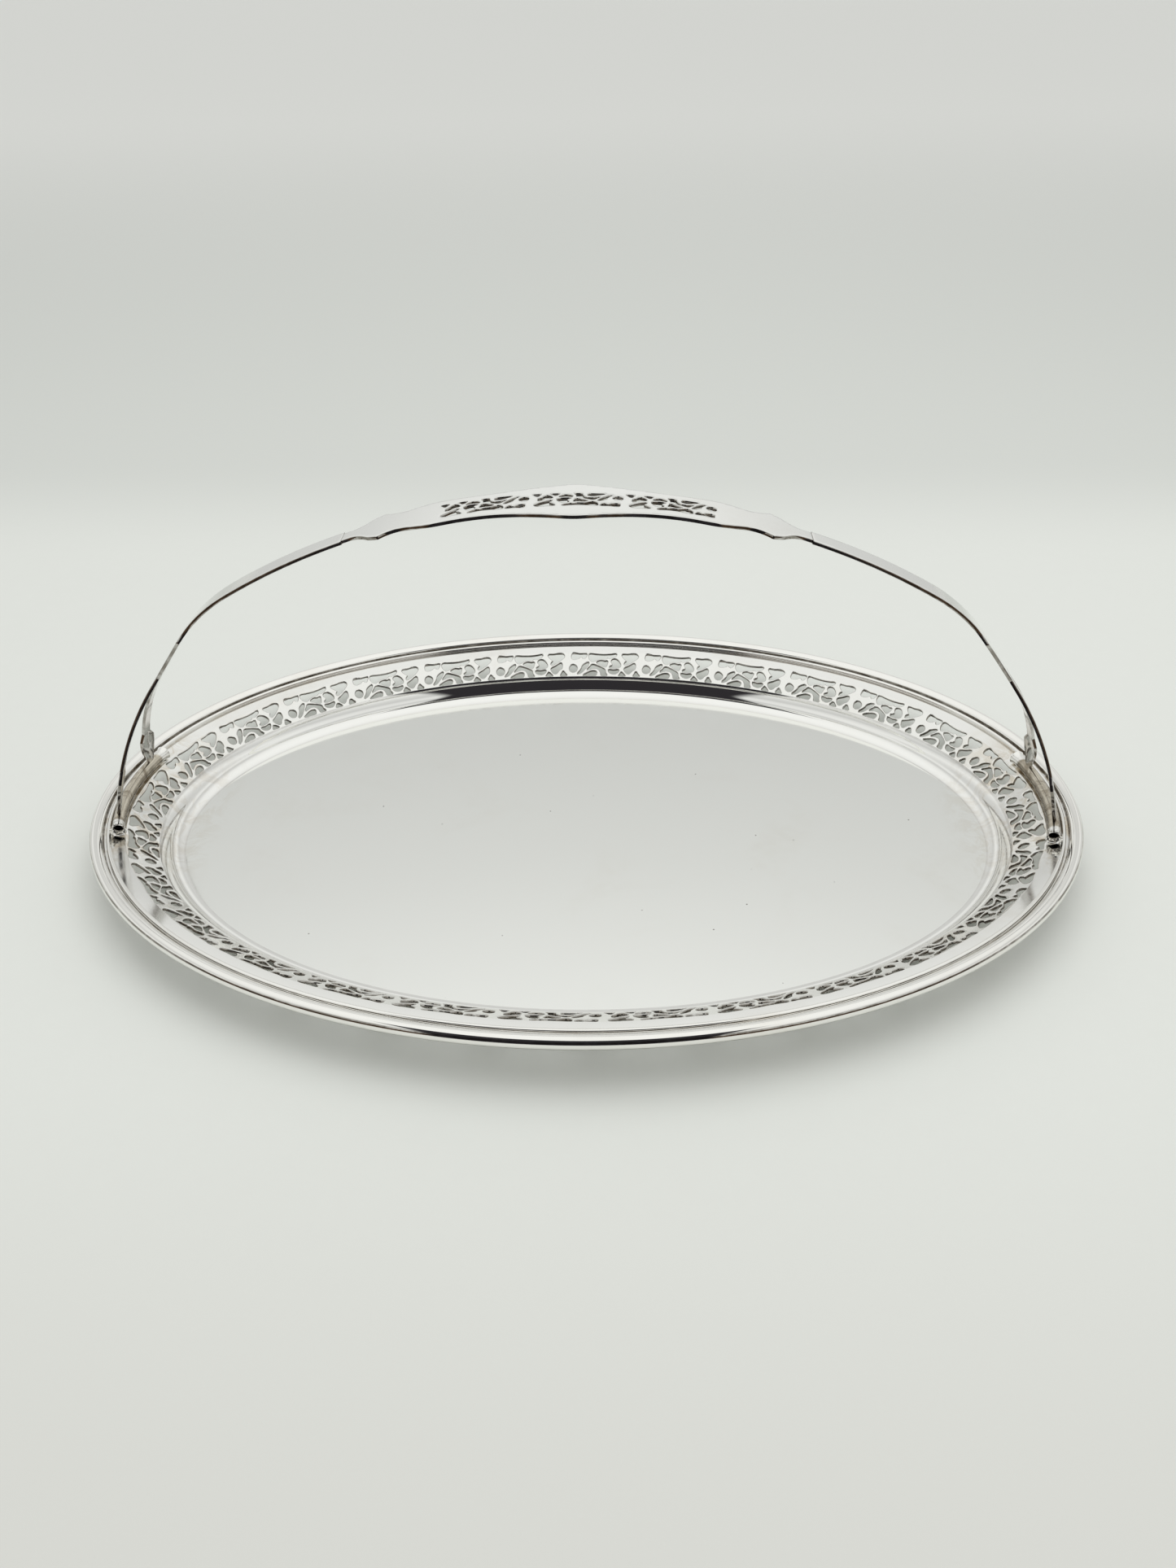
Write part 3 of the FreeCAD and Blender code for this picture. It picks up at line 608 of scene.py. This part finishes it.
fine_angle = np.linspace(0, 2 * math.pi, 40001)
fine_line = np.stack([HALF_LENGTH * np.cos(fine_angle), HALF_WIDTH * np.sin(fine_angle)], 1)
fine_run = np.concatenate([[0.0], np.cumsum(np.linalg.norm(np.diff(fine_line, axis=0), axis=1))])


def oval_point(share, inset):
    """Point on the oval that lies inset inside the rim, facing the same way as the rim does at
    that share of its length from +X."""
    spot = np.interp(np.mod(share, 1.0) * fine_run[-1], fine_run, fine_angle)
    facing = np.arctan2(np.sin(spot) / HALF_WIDTH, np.cos(spot) / HALF_LENGTH)
    long_part, cross_part = HALF_LENGTH - inset, HALF_WIDTH - inset
    reach = np.hypot(long_part * np.cos(facing), cross_part * np.sin(facing))
    return long_part ** 2 * np.cos(facing) / reach, cross_part ** 2 * np.sin(facing) / reach


def border_surface(along, across, sink):
    """Place points on the sloping border, sunk below its face by sink."""
    share = FIRST_CELL - along / CELLS
    slope = math.atan2(BORDER_LEVEL - FOLD_LEVEL, FOLD_INSET - BORDER_INSET)
    inset = FOLD_INSET + (BORDER_INSET - FOLD_INSET) * across - sink * math.sin(slope)
    height = FOLD_LEVEL + (BORDER_LEVEL - FOLD_LEVEL) * across - sink * math.cos(slope)
    x, y = oval_point(share, inset)
    return np.stack([x, y, height], 1)


def opened(loops, more, bridge, repeat, low, high):
    """The loops grown by more, but never so much that less than bridge is left between two."""
    grown = []
    for number, loop in enumerate(loops):
        ahead = np.roll(loop, -1, axis=0) - np.roll(loop, 1, axis=0)
        normal = np.stack([ahead[:, 1], -ahead[:, 0]], 1)
        normal /= np.linalg.norm(normal, axis=1)[:, None]
        area = np.sum(loop[:, 0] * np.roll(loop[:, 1], -1) - np.roll(loop[:, 0], -1) * loop[:, 1])
        normal *= math.copysign(1.0, area)
        others = [other + (shift, 0.0) for place, other in enumerate(loops)
                  for shift in (-repeat, 0.0, repeat) if place != number or shift]
        gap = nearest(loop, np.concatenate(others))
        edge_gap = np.minimum(loop[:, 1] - low, high - loop[:, 1])
        room = np.minimum(more, np.minimum((gap - bridge) / 2, edge_gap - 0.3))
        room = np.clip(room, 0.0, more)
        for _ in range(3):
            room = np.minimum(room, (np.roll(room, 1) + room + np.roll(room, -1)) / 3)
        grown.append(loop + normal * room[:, None])
    return grown


holes = [smooth_loop(np.array(opening) * (PITCH, SLANT), HOLE_STEP) for opening in OPENINGS]
holes = opened(holes, 0.26, 0.62, PITCH, 0.0, SLANT)
cell_left, cell_right = CELL_START * PITCH, (CELL_START + 1) * PITCH
side_steps = even_steps(np.array([[0.0, 0.0], [0.0, SLANT]]), LINE_STEP)[:, 1]
long_steps = even_steps(np.array([[cell_left, 0.0], [cell_right, 0.0]]), LINE_STEP)[:, 0]
cell_outline = ([(x, 0.0) for x in long_steps[:-1]] + [(cell_right, y) for y in side_steps[:-1]]
                + [(x, SLANT) for x in long_steps[::-1][:-1]]
                + [(cell_left, y) for y in side_steps[::-1][:-1]])
cell_plate = Plate(cell_outline, holes, 0.75, (0.16, 0.42))
cell_sink = cell_plate.relief(0.22, 0.42)


def on_cell_side(first, second):
    """Whether an edge lies where two repeats join and so needs no wall."""
    return (abs(first[0] - second[0]) < 1e-6
            and (abs(first[0] - cell_left) < 1e-4 or abs(first[0] - cell_right) < 1e-4))


border_points = []
border_faces = []
for cell in range(CELLS):
    along = cell_plate.points[:, 0] / PITCH + cell
    across = cell_plate.points[:, 1] / SLANT
    top = border_surface(along, across, cell_sink)
    bottom = border_surface(along, across, np.full(len(along), BORDER_GAUGE))
    points, faces = plate_solid(cell_plate, top, bottom, on_cell_side)
    start = cell * len(points)
    border_points.append(points)
    border_faces += [tuple(corner + start for corner in face) for face in faces]
# Points that two repeats share become one.
border_points = np.concatenate(border_points)
keys = np.round(border_points / 0.002).astype(np.int64)
_, first, back = np.unique(keys, axis=0, return_index=True, return_inverse=True)
back = back.ravel()
border_faces = [tuple(back[list(face)].tolist()) for face in border_faces]
mark_sawn(add_piece("pierced_border_fret", border_points[first], border_faces, border_silver,
                    ["pierced_border"], 55.0),
          np.tile(cell_plate.depth, 2 * CELLS)[first])

# ---------------------------------------------------------------- the handle's path
STRAP = 1.15
CROWN_RADIUS, CROWN_ANGLE = 223.0, math.radians(30)
HIP_RADIUS, HIP_ANGLE = 60.0, math.radians(54)
SHANK, FORK_RUN = 16.3, 4.2
LEG_RADIUS, FOOT_ANGLE = 95.0, math.radians(82.4)
crown_centre = np.array([0.0, HANDLE_TOP - CROWN_RADIUS])


def outward(slope):
    """Across the strip, away from the tray's middle."""
    return np.stack([np.sin(slope), np.cos(slope)], -1)


def downhill(slope):
    """Along the strip, towards the foot."""
    return np.stack([np.cos(slope), -np.sin(slope)], -1)


hip_start = crown_centre + CROWN_RADIUS * outward(CROWN_ANGLE)
hip_centre = hip_start - HIP_RADIUS * outward(CROWN_ANGLE)
hip_end = hip_centre + HIP_RADIUS * outward(HIP_ANGLE)
leg_start = hip_end + (SHANK + FORK_RUN) * downhill(HIP_ANGLE)
leg_centre = leg_start - LEG_RADIUS * outward(HIP_ANGLE)
RUN_CROWN = CROWN_RADIUS * CROWN_ANGLE
RUN_HIP = RUN_CROWN + HIP_RADIUS * (HIP_ANGLE - CROWN_ANGLE)
RUN_FORK = RUN_HIP + SHANK
RUN_BEND = RUN_FORK + FORK_RUN
RUN_FOOT = RUN_BEND + LEG_RADIUS * (FOOT_ANGLE - HIP_ANGLE)


def handle_path(run):
    """(x, z) of the handle's outer face and its slope, at a distance along it from the crown."""
    run = np.asarray(run, float)
    side = np.where(run < 0, -1.0, 1.0)
    run = np.abs(run)
    slope = np.select([run < RUN_CROWN, run < RUN_HIP, run < RUN_BEND],
                      [run / CROWN_RADIUS, CROWN_ANGLE + (run - RUN_CROWN) / HIP_RADIUS,
                       np.full(run.shape, HIP_ANGLE)],
                      HIP_ANGLE + (run - RUN_BEND) / LEG_RADIUS)
    on_crown = crown_centre + CROWN_RADIUS * outward(slope)
    on_hip = hip_centre + HIP_RADIUS * outward(slope)
    on_shank = hip_end + (run - RUN_HIP)[..., None] * downhill(slope)
    on_leg = leg_centre + LEG_RADIUS * outward(slope)
    spot = np.where((run < RUN_CROWN)[..., None], on_crown,
                    np.where((run < RUN_HIP)[..., None], on_hip,
                             np.where((run < RUN_BEND)[..., None], on_shank, on_leg)))
    return spot[..., 0] * side, spot[..., 1], slope * side


def strap_surface(run, across, sink):
    """Points on the handle's strip, sunk below its outer face."""
    x, z, slope = handle_path(run)
    return np.stack([x - sink * np.sin(slope), across, z - sink * np.cos(slope)], 1)


def smooth_line(points, spacing):
    """An open curve through the points, in even steps."""
    points = np.asarray(points, float)
    padded = np.vstack([2 * points[0] - points[1], points, 2 * points[-1] - points[-2]])
    dense = []
    for place in range(len(points) - 1):
        before, here, after, beyond = padded[place:place + 4]
        for share in np.linspace(0, 1, 12, endpoint=False):
            dense.append(0.5 * (2 * here + (after - before) * share
                                + (2 * before - 5 * here + 4 * after - beyond) * share ** 2
                                + (3 * here - before - 3 * after + beyond) * share ** 3))
    dense.append(points[-1])
    return even_steps(np.array(dense), spacing)


def run_at(x):
    """Distance along the upper arc to the place x from the middle."""
    return CROWN_RADIUS * math.asin(x / CROWN_RADIUS)


# Half widths along the grip: one smooth stretch up to the barb, one from it to the neck.
GRIP_EDGE = ((0.0, 12.45), (8.5, 11.05), (17.0, 9.55), (25.5, 8.6), (34.0, 8.4), (42.5, 8.7),
             (47.5, 7.9), (52.5, 6.6), (56.5, 7.1), (59.5, 8.7))
GRIP_NECK = ((59.5, 8.7), (62.5, 7.2), (65.5, 4.4), (68.5, 2.9), (72.0, 2.75))
PIERCED_HALF, PANEL_HALF_WIDTH, PANEL_SHIFT, REPEATS = 42.5, 5.25, 1.8, 3


crest = ((-17.0, 9.55), (-8.5, 11.05)) + GRIP_EDGE
crest_line = smooth_line([(run_at(x), y) for x, y in crest], LINE_STEP)
crest_line = [(x, y) for x, y in crest_line.tolist() if x > 0.2]
neck_line = smooth_line([(run_at(x), y) for x, y in GRIP_NECK], LINE_STEP).tolist()
right_edge = [(0.0, 12.45)] + crest_line + neck_line[1:]
upper_edge = [(-x, y) for x, y in right_edge[:0:-1]] + right_edge
end_half = GRIP_NECK[-1][1]
end_steps = np.linspace(end_half, -end_half, 10)[1:-1]
end_run = run_at(GRIP_NECK[-1][0])
grip_outline = (upper_edge + [(end_run, y) for y in end_steps]
                + [(x, -y) for x, y in reversed(upper_edge)] + [(-end_run, -y) for y in end_steps])
grip_holes = []
for repeat in range(REPEATS):
    for opening in OPENINGS:
        loop = np.array(opening)
        x = PANEL_SHIFT + run_at(PIERCED_HALF) * (1 - 2 * (repeat + loop[:, 0]) / REPEATS)
        y = PANEL_HALF_WIDTH * (1 - 2 * loop[:, 1])
        grip_holes.append(smooth_loop(np.stack([x, y], 1), HOLE_STEP))
grip_holes = opened(grip_holes, 0.22, 0.6, 4 * PANEL_HALF_WIDTH * PITCH, -PANEL_HALF_WIDTH - 1,
                    PANEL_HALF_WIDTH + 1)
grip_plate = Plate(grip_outline, grip_holes, 0.9, (0.15, 0.40), np.array(grip_outline))
grip_sink = grip_plate.relief(0.20, 0.40)
grip_top = strap_surface(grip_plate.points[:, 0], grip_plate.points[:, 1], grip_sink)
grip_low = strap_surface(grip_plate.points[:, 0], grip_plate.points[:, 1],
                         np.full(len(grip_sink), STRAP))
points, faces = plate_solid(grip_plate, grip_top, grip_low)
mark_sawn(add_piece("handle_grip_plate", points, faces, handle_silver, ["handle_grip"],
                    55.0), np.tile(grip_plate.depth, 2))

# Arms: narrow strips with a small barb, from the grip to the fork.
ARM_EDGE = ((72.0, 3.6), (85.0, 3.9), (98.0, 4.15), (110.0, 4.4), (122.0, 4.4), (126.5, 4.7),
            (129.5, 5.9))
ARM_END = ((129.5, 5.9), (131.5, 4.6), (134.5, 4.2), (139.6, 4.15))
path_runs = np.linspace(0, RUN_FOOT, 4000)
path_x = handle_path(path_runs)[0]


def arm_run(x):
    return float(np.interp(x, path_x, path_runs))


arm_upper = smooth_line([(arm_run(x), y) for x, y in ARM_EDGE], LINE_STEP).tolist()
arm_upper += smooth_line([(arm_run(x), y) for x, y in ARM_END], LINE_STEP).tolist()[1:]
arm_end = np.linspace(ARM_END[-1][1], -ARM_END[-1][1], 12)[1:-1]
arm_start = np.linspace(-ARM_EDGE[0][1], ARM_EDGE[0][1], 11)[1:-1]
arm_outline = (arm_upper + [(arm_upper[-1][0], y) for y in arm_end]
               + [(x, -y) for x, y in reversed(arm_upper)]
               + [(arm_upper[0][0], y) for y in arm_start])
arm_plate = Plate(arm_outline, [], 0.9, (0.15, 0.40), np.array(arm_outline))
arm_sink = arm_plate.relief(0.20, 0.40)
for name, node, side in (("right_arm_strip", "right_arm", 1), ("left_arm_strip", "left_arm", -1)):
    runs, widths = arm_plate.points[:, 0], arm_plate.points[:, 1]
    top = strap_surface(runs, widths, arm_sink) * (side, side, 1)
    low = strap_surface(runs, widths, np.full(len(runs), STRAP)) * (side, side, 1)
    points, faces = plate_solid(arm_plate, top, low)
    mark_sawn(add_piece(name, points, faces, handle_silver, [node], 55.0),
              np.tile(arm_plate.depth, 2))

# ---------------------------------------------------------------- legs with leaf feet
LEG_WIDTH, LEAF_WIDTH, LEAF_LENGTH, TIP_WIDTH = 4.0, 8.2, 16.0, 2.0
FORK_HALF, FOOT_HALF, FOOT_TURN = 2.1, 16.5, math.radians(13.7)


def leg_width(to_go):
    """Width at a distance from the tip: a bar, a small shoulder, then a leaf."""
    shoulder = 0.8 * LEAF_LENGTH
    if to_go >= LEAF_LENGTH:
        return LEG_WIDTH
    if to_go >= shoulder:
        rise = (LEAF_LENGTH - to_go) / (LEAF_LENGTH - shoulder)
        return LEG_WIDTH + (LEAF_WIDTH - LEG_WIDTH) * rise
    return TIP_WIDTH + (LEAF_WIDTH - TIP_WIDTH) * math.sin(0.5 * math.pi * to_go / shoulder)


def leg_solid(side):
    """A leg at the +X end: side is +1 for the back one, -1 for the front one.

    Besides points and faces it gives how dark each face is painted, tarnish plus painted shade on the
    sides and painted shade on the inner face, and which points are at an edge.
    """
    length = RUN_FOOT - RUN_FORK
    runs = np.unique(np.concatenate([np.linspace(0, length, 120),
                                     length - LEAF_LENGTH * np.array([1.0, 0.93, 0.86, 0.8])]))
    across_share = np.array([-1, -0.93, -0.8, -0.5, -0.12, 0, 0.12, 0.5, 0.8, 0.93, 1.0])
    top_sink = np.array([0.22, 0.07, 0.0, 0.0, 0.0, 0.0, 0.0, 0.0, 0.0, 0.07, 0.22])
    rows = []
    for run in runs:
        share = run / length
        x, z, slope = handle_path(np.array([RUN_FORK + run]))
        turn = FOOT_TURN * share
        across = np.array([-side * math.sin(turn), math.cos(turn), 0.0])
        ahead = np.array([math.cos(slope[0]), 0.0, -math.sin(slope[0])])
        inward = np.cross(across, ahead)
        inward /= np.linalg.norm(inward)
        centre = np.array([x[0], side * (FORK_HALF + (FOOT_HALF - FORK_HALF) * share), z[0]])
        half = 0.5 * leg_width(length - run)
        leaf = np.clip((LEAF_LENGTH - (length - run)) / 3.0, 0, 1)
        crease = 0.30 * leaf * np.exp(-(across_share * half / 0.45) ** 2)
        crown = 0.25 * leaf * (across_share ** 2)
        upper_row = [centre + across * half * w + inward * (s + c + k)
                     for w, s, c, k in zip(across_share, top_sink, crease, crown)]
        lower_row = [centre + across * half * w + inward * (STRAP + k)
                     for w, k in zip(across_share[::-1], crown[::-1])]
        rows.append(upper_row + lower_row)
    rows = np.array(rows)
    count = rows.shape[1]
    faces = grid_faces(len(rows), count, False, True)
    faces.append(tuple(range(count))[::-1])
    last = (len(rows) - 1) * count
    faces.append(tuple(last + place for place in range(count)))
    # The sides (edge) are painted dark, tarnish of the cut sides plus painted shade; the inner face
    # (under) is painted shade; the outer face (over) is only a little tarnished. The dark lines along
    # both edges are tarnish plus painted shade.
    edge, over, under = 1.0, 0.10, 0.40
    spans = len(across_share) - 1
    soiled_and_shaded = ([over] * spans + [edge] + [under] * spans + [edge]) * (len(rows) - 1) + [edge, edge]
    brink_tarnish_and_shade = np.where(np.abs(across_share) > 0.75, 1.0, 0.0)
    return rows.reshape(-1, 3), faces, soiled_and_shaded, np.tile(np.append(brink_tarnish_and_shade, brink_tarnish_and_shade), len(rows))


for name, node, side, end in (("right_back_leg_strip", "right_back_leg", 1, 1),
                              ("right_front_leg_strip", "right_front_leg", -1, 1),
                              ("left_front_leg_strip", "left_front_leg", 1, -1),
                              ("left_back_leg_strip", "left_back_leg", -1, -1)):
    points, faces, soiled_and_shaded, brink_tarnish_and_shade = leg_solid(side)
    leg = add_piece(name, points * (end, end, 1), faces, handle_silver, [node], 45.0)
    mark(leg, "wall_tarnish_and_shade", "FACE", soiled_and_shaded)
    mark(leg, "brink_tarnish_and_shade", "POINT", brink_tarnish_and_shade)

# ---------------------------------------------------------------- mount tubes and flared ends
TUBE_INSET, TUBE_LEVEL, TUBE_RADIUS, TUBE_BORE = 9.5, 16.2, 2.1, 1.0
TUBE_SWEEP = math.radians(11.2)
TUBE_STEPS = 36
BELL_LENGTH, BELL_RADIUS, BELL_LIP = 3.0, 2.7, 0.4
BELL_UNDER, LIP_UNDER, MOUTH_UNDER = 14.14, 14.3, 14.5    # a bell is flat where it lies down


def tube_frame(angle):
    """Centre, heading and sideways direction of the tube at an angle of its ellipse."""
    long_part, cross_part = HALF_LENGTH - TUBE_INSET, HALF_WIDTH - TUBE_INSET
    centre = np.array([long_part * math.cos(angle), cross_part * math.sin(angle), TUBE_LEVEL])
    heading = np.array([-long_part * math.sin(angle), cross_part * math.cos(angle), 0.0])
    heading /= np.linalg.norm(heading)
    return centre, heading, np.cross(heading, (0, 0, 1))


def ring_points(centre, sideways, radius, floor=None):
    """A circle of points square to the tube, none of them lower than floor."""
    turn = np.linspace(0, 2 * math.pi, TUBE_STEPS, endpoint=False)
    points = centre + np.outer(np.cos(turn) * radius, sideways)
    points[:, 2] += np.sin(turn) * radius
    if floor is not None:
        points[:, 2] = np.maximum(points[:, 2], floor)
    return points


def tube_solid():
    """The +X mount tube: its slightly dented outside, then back along the bore."""
    rows = []
    angles = np.linspace(-TUBE_SWEEP, TUBE_SWEEP, 60)
    for radius, order in ((TUBE_RADIUS, angles), (TUBE_BORE, angles[::-1])):
        for angle in order:
            centre, _, sideways = tube_frame(angle)
            dent = 1 + 0.012 * math.sin(angle * 70) + 0.01 * math.sin(angle * 160 + 1)
            rows.append(ring_points(centre, sideways, radius * dent))
    rows = np.array(rows)
    return rows.reshape(-1, 3), grid_faces(len(rows), rows.shape[1], True, True)


def bell_solid(side):
    """A flare at one end of the +X tube: outside, lip, then inside."""
    centre, heading, sideways = tube_frame(side * TUBE_SWEEP)
    heading = heading * side
    rows = []
    shares = np.linspace(0, 1, 10)
    outer = TUBE_RADIUS + (BELL_RADIUS - TUBE_RADIUS) * shares ** 2.2
    inner = TUBE_BORE + (BELL_RADIUS - BELL_LIP - TUBE_BORE) * shares ** 2.0
    for share, radius in zip(shares, outer):
        rows.append(ring_points(centre + heading * BELL_LENGTH * share, sideways, radius,
                                BELL_UNDER))
    lip = centre + heading * (BELL_LENGTH + 0.15)
    rows.append(ring_points(lip, sideways, BELL_RADIUS - 0.5 * BELL_LIP, LIP_UNDER))
    for share, radius in zip(shares[::-1], inner[::-1]):
        rows.append(ring_points(centre + heading * BELL_LENGTH * share, sideways, radius,
                                MOUTH_UNDER))
    rows = np.array(rows)
    return rows.reshape(-1, 3), grid_faces(len(rows), rows.shape[1], True, True)


for name, node, end in (("right_mount_tube_wall", "right_mount_tube", 1),
                        ("left_mount_tube_wall", "left_mount_tube", -1)):
    points, faces = tube_solid()
    tube = add_piece(name, points * (end, end, 1), faces, tube_silver, [node], 60.0)
    # Painted shade: the tube's sides, underside and bore are marked darker the lower they lie, fully
    # dark from half height down, so only the top stays bright.
    rise = (points[:, 2] - TUBE_LEVEL) / TUBE_RADIUS
    mark(tube, "brink_tarnish_and_shade", "POINT", np.clip(1.15 - 1.15 * rise, 0, 1))
for name, node, side, end in (("right_back_bell_flare", "right_back_bell", 1, 1),
                              ("right_front_bell_flare", "right_front_bell", -1, 1),
                              ("left_front_bell_flare", "left_front_bell", 1, -1),
                              ("left_back_bell_flare", "left_back_bell", -1, -1)):
    points, faces = bell_solid(side)
    add_piece(name, points * (end, end, 1), faces, tube_silver, [node], 60.0)

# ---------------------------------------------------------------- every mesh faces outward
for piece in list(bpy.context.scene.objects):
    if piece.type == "MESH" and "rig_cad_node" not in piece:
        edit = bmesh.new()
        edit.from_mesh(piece.data)
        bmesh.ops.recalc_face_normals(edit, faces=edit.faces)
        edit.to_mesh(piece.data)
        edit.free()

# ---------------------------------------------------------------- floor
floor_mesh = bpy.data.meshes.new("studio_floor")
FLOOR_REACH, FLOOR_NEAR, FLOOR_GAP = 16.0, -0.31, 0.0003    # metres
floor_mesh.from_pydata([(-FLOOR_REACH, FLOOR_NEAR, 0), (FLOOR_REACH, FLOOR_NEAR, 0),
                        (FLOOR_REACH, FLOOR_REACH, 0), (-FLOOR_REACH, FLOOR_REACH, 0)],
                       [], [(0, 1, 2, 3)])
floor_object = bpy.data.objects.new("studio_floor", floor_mesh)
floor_object.location.z = -FLOOR_GAP
bpy.context.scene.collection.objects.link(floor_object)
paper = Surface("studio_paper")
depth = paper.axis("Y")
# Painted light and shade: the paper is darker near its front edge and from 0.23 m back, and lighter
# again far away, standing in for the tent's uneven light.
tone = paper.mix(paper.ranged(depth, -0.26, -0.10), (0.735, 0.74, 0.705), (0.80, 0.82, 0.785))
tone = paper.mix(paper.ranged(depth, 0.23, 0.38), tone, (0.70, 0.72, 0.69))
tone = paper.mix(paper.ranged(depth, 0.50, 2.20), tone, (0.87, 0.88, 0.855))
grain = paper.ranged(paper.noise(140.0, 5.0), 0.3, 0.7, 0.0, 0.06)
tone = paper.mix(grain, tone, (0.74, 0.74, 0.72))
paper.link(tone, paper.shader.inputs["Base Color"])
paper.shader.inputs["Roughness"].default_value = 0.85
paper.shader.inputs["Specular IOR Level"].default_value = 0.2
paper.bumps((paper.noise(900.0, 3.0), 0.05, 0.0003))
floor_mesh.materials.append(paper.material)

# ---------------------------------------------------------------- light: a soft white tent
world = bpy.data.worlds.new("tent")
bpy.context.scene.world = world
world.use_nodes = True
tree = world.node_tree
tree.nodes.clear()


def world_node(kind, **values):
    node = tree.nodes.new(kind)
    for name, value in values.items():
        setattr(node, name, value)
    return node


def world_maths(operation, first, second=0.0):
    node = world_node("ShaderNodeMath", operation=operation)
    for socket, value in zip(node.inputs, (first, second)):
        if isinstance(value, (int, float)):
            socket.default_value = value
        else:
            tree.links.new(value, socket)
    return node.outputs[0]


def world_range(value, low, high, to_low=0.0, to_high=1.0):
    node = world_node("ShaderNodeMapRange", interpolation_type="SMOOTHSTEP")
    for name, number in (("From Min", low), ("From Max", high), ("To Min", to_low), ("To Max", to_high)):
        node.inputs[name].default_value = number
    tree.links.new(value, node.inputs["Value"])
    return node.outputs["Result"]


def world_mix(factor, first, second):
    node = world_node("ShaderNodeMix", data_type="RGBA")
    tree.links.new(factor, node.inputs["Factor"])
    for socket, value in ((node.inputs[6], first), (node.inputs[7], second)):
        if isinstance(value, tuple):
            socket.default_value = value + (1.0,)
        else:
            tree.links.new(value, socket)
    return node.outputs[2]


place = world_node("ShaderNodeTexCoord")
split = world_node("ShaderNodeSeparateXYZ")
tree.links.new(place.outputs["Generated"], split.inputs[0])
side_way, depth_way, height_way = split.outputs
ramp = world_node("ShaderNodeValToRGB")
tree.links.new(height_way, ramp.inputs["Fac"])
stops = ((0.0, 0.60), (0.20, 0.67), (0.36, 0.86), (0.45, 0.76), (0.52, 0.615), (0.62, 0.71),
         (0.72, 0.86), (0.86, 0.93), (1.0, 0.96))
while len(ramp.color_ramp.elements) < len(stops):
    ramp.color_ramp.elements.new(0.5)
for element, (spot, level) in zip(ramp.color_ramp.elements, stops):
    element.position = spot
    element.color = (level, level * 1.01, level * 0.985, 1.0)
# The tent's open front: a dark gap that the polished wall of the well picks up, over a wide and
# low brown band for the room behind it.
left_side = world_range(side_way, -0.44, -0.39)
right_side = world_range(side_way, 0.37, 0.32)
high_side = world_range(height_way, 0.91, 0.87)
front = world_range(depth_way, -0.16, -0.26)
gap = world_maths("MULTIPLY", left_side, right_side)
gap = world_maths("MULTIPLY", gap, high_side)
gap = world_maths("MULTIPLY", gap, front)
facing = world_range(depth_way, -0.10, -0.42)
room = world_maths("MULTIPLY", world_range(height_way, 0.34, 0.20), facing)
seen = world_mix(room, ramp.outputs["Color"], (0.095, 0.060, 0.036))
seen = world_mix(gap, seen, (0.028, 0.026, 0.029))
# The metal sees that tent, dull surfaces a smooth one, and the camera a plain wall.
soft = world_mix(world_range(height_way, -0.15, 1.05), (0.06, 0.055, 0.045), (1.02, 1.025, 1.01))
rays = world_node("ShaderNodeLightPath")
lit = world_mix(rays.outputs["Is Glossy Ray"], soft, seen)
plain = world_mix(rays.outputs["Is Camera Ray"], lit, (0.62, 0.625, 0.61))
background = world_node("ShaderNodeBackground")
tree.links.new(plain, background.inputs["Color"])
background.inputs["Strength"].default_value = 1.0
output = world_node("ShaderNodeOutputWorld")
tree.links.new(background.outputs[0], output.inputs["Surface"])


def soft_light(name, position, target, size, power):
    data = bpy.data.lights.new(name, "AREA")
    data.shape = "RECTANGLE"
    data.size, data.size_y = size
    data.energy = power
    light = bpy.data.objects.new(name, data)
    bpy.context.scene.collection.objects.link(light)
    light.matrix_world = look(Vector(position), Vector(target), 0)
    light.visible_glossy = False


soft_light("top_light", (0.12, 0.10, 1.0), (0.0, 0.02, 0.0), (1.1, 0.9), 2.6)

bpy.context.scene.view_settings.view_transform = "Standard"
bpy.context.scene.view_settings.look = "None"
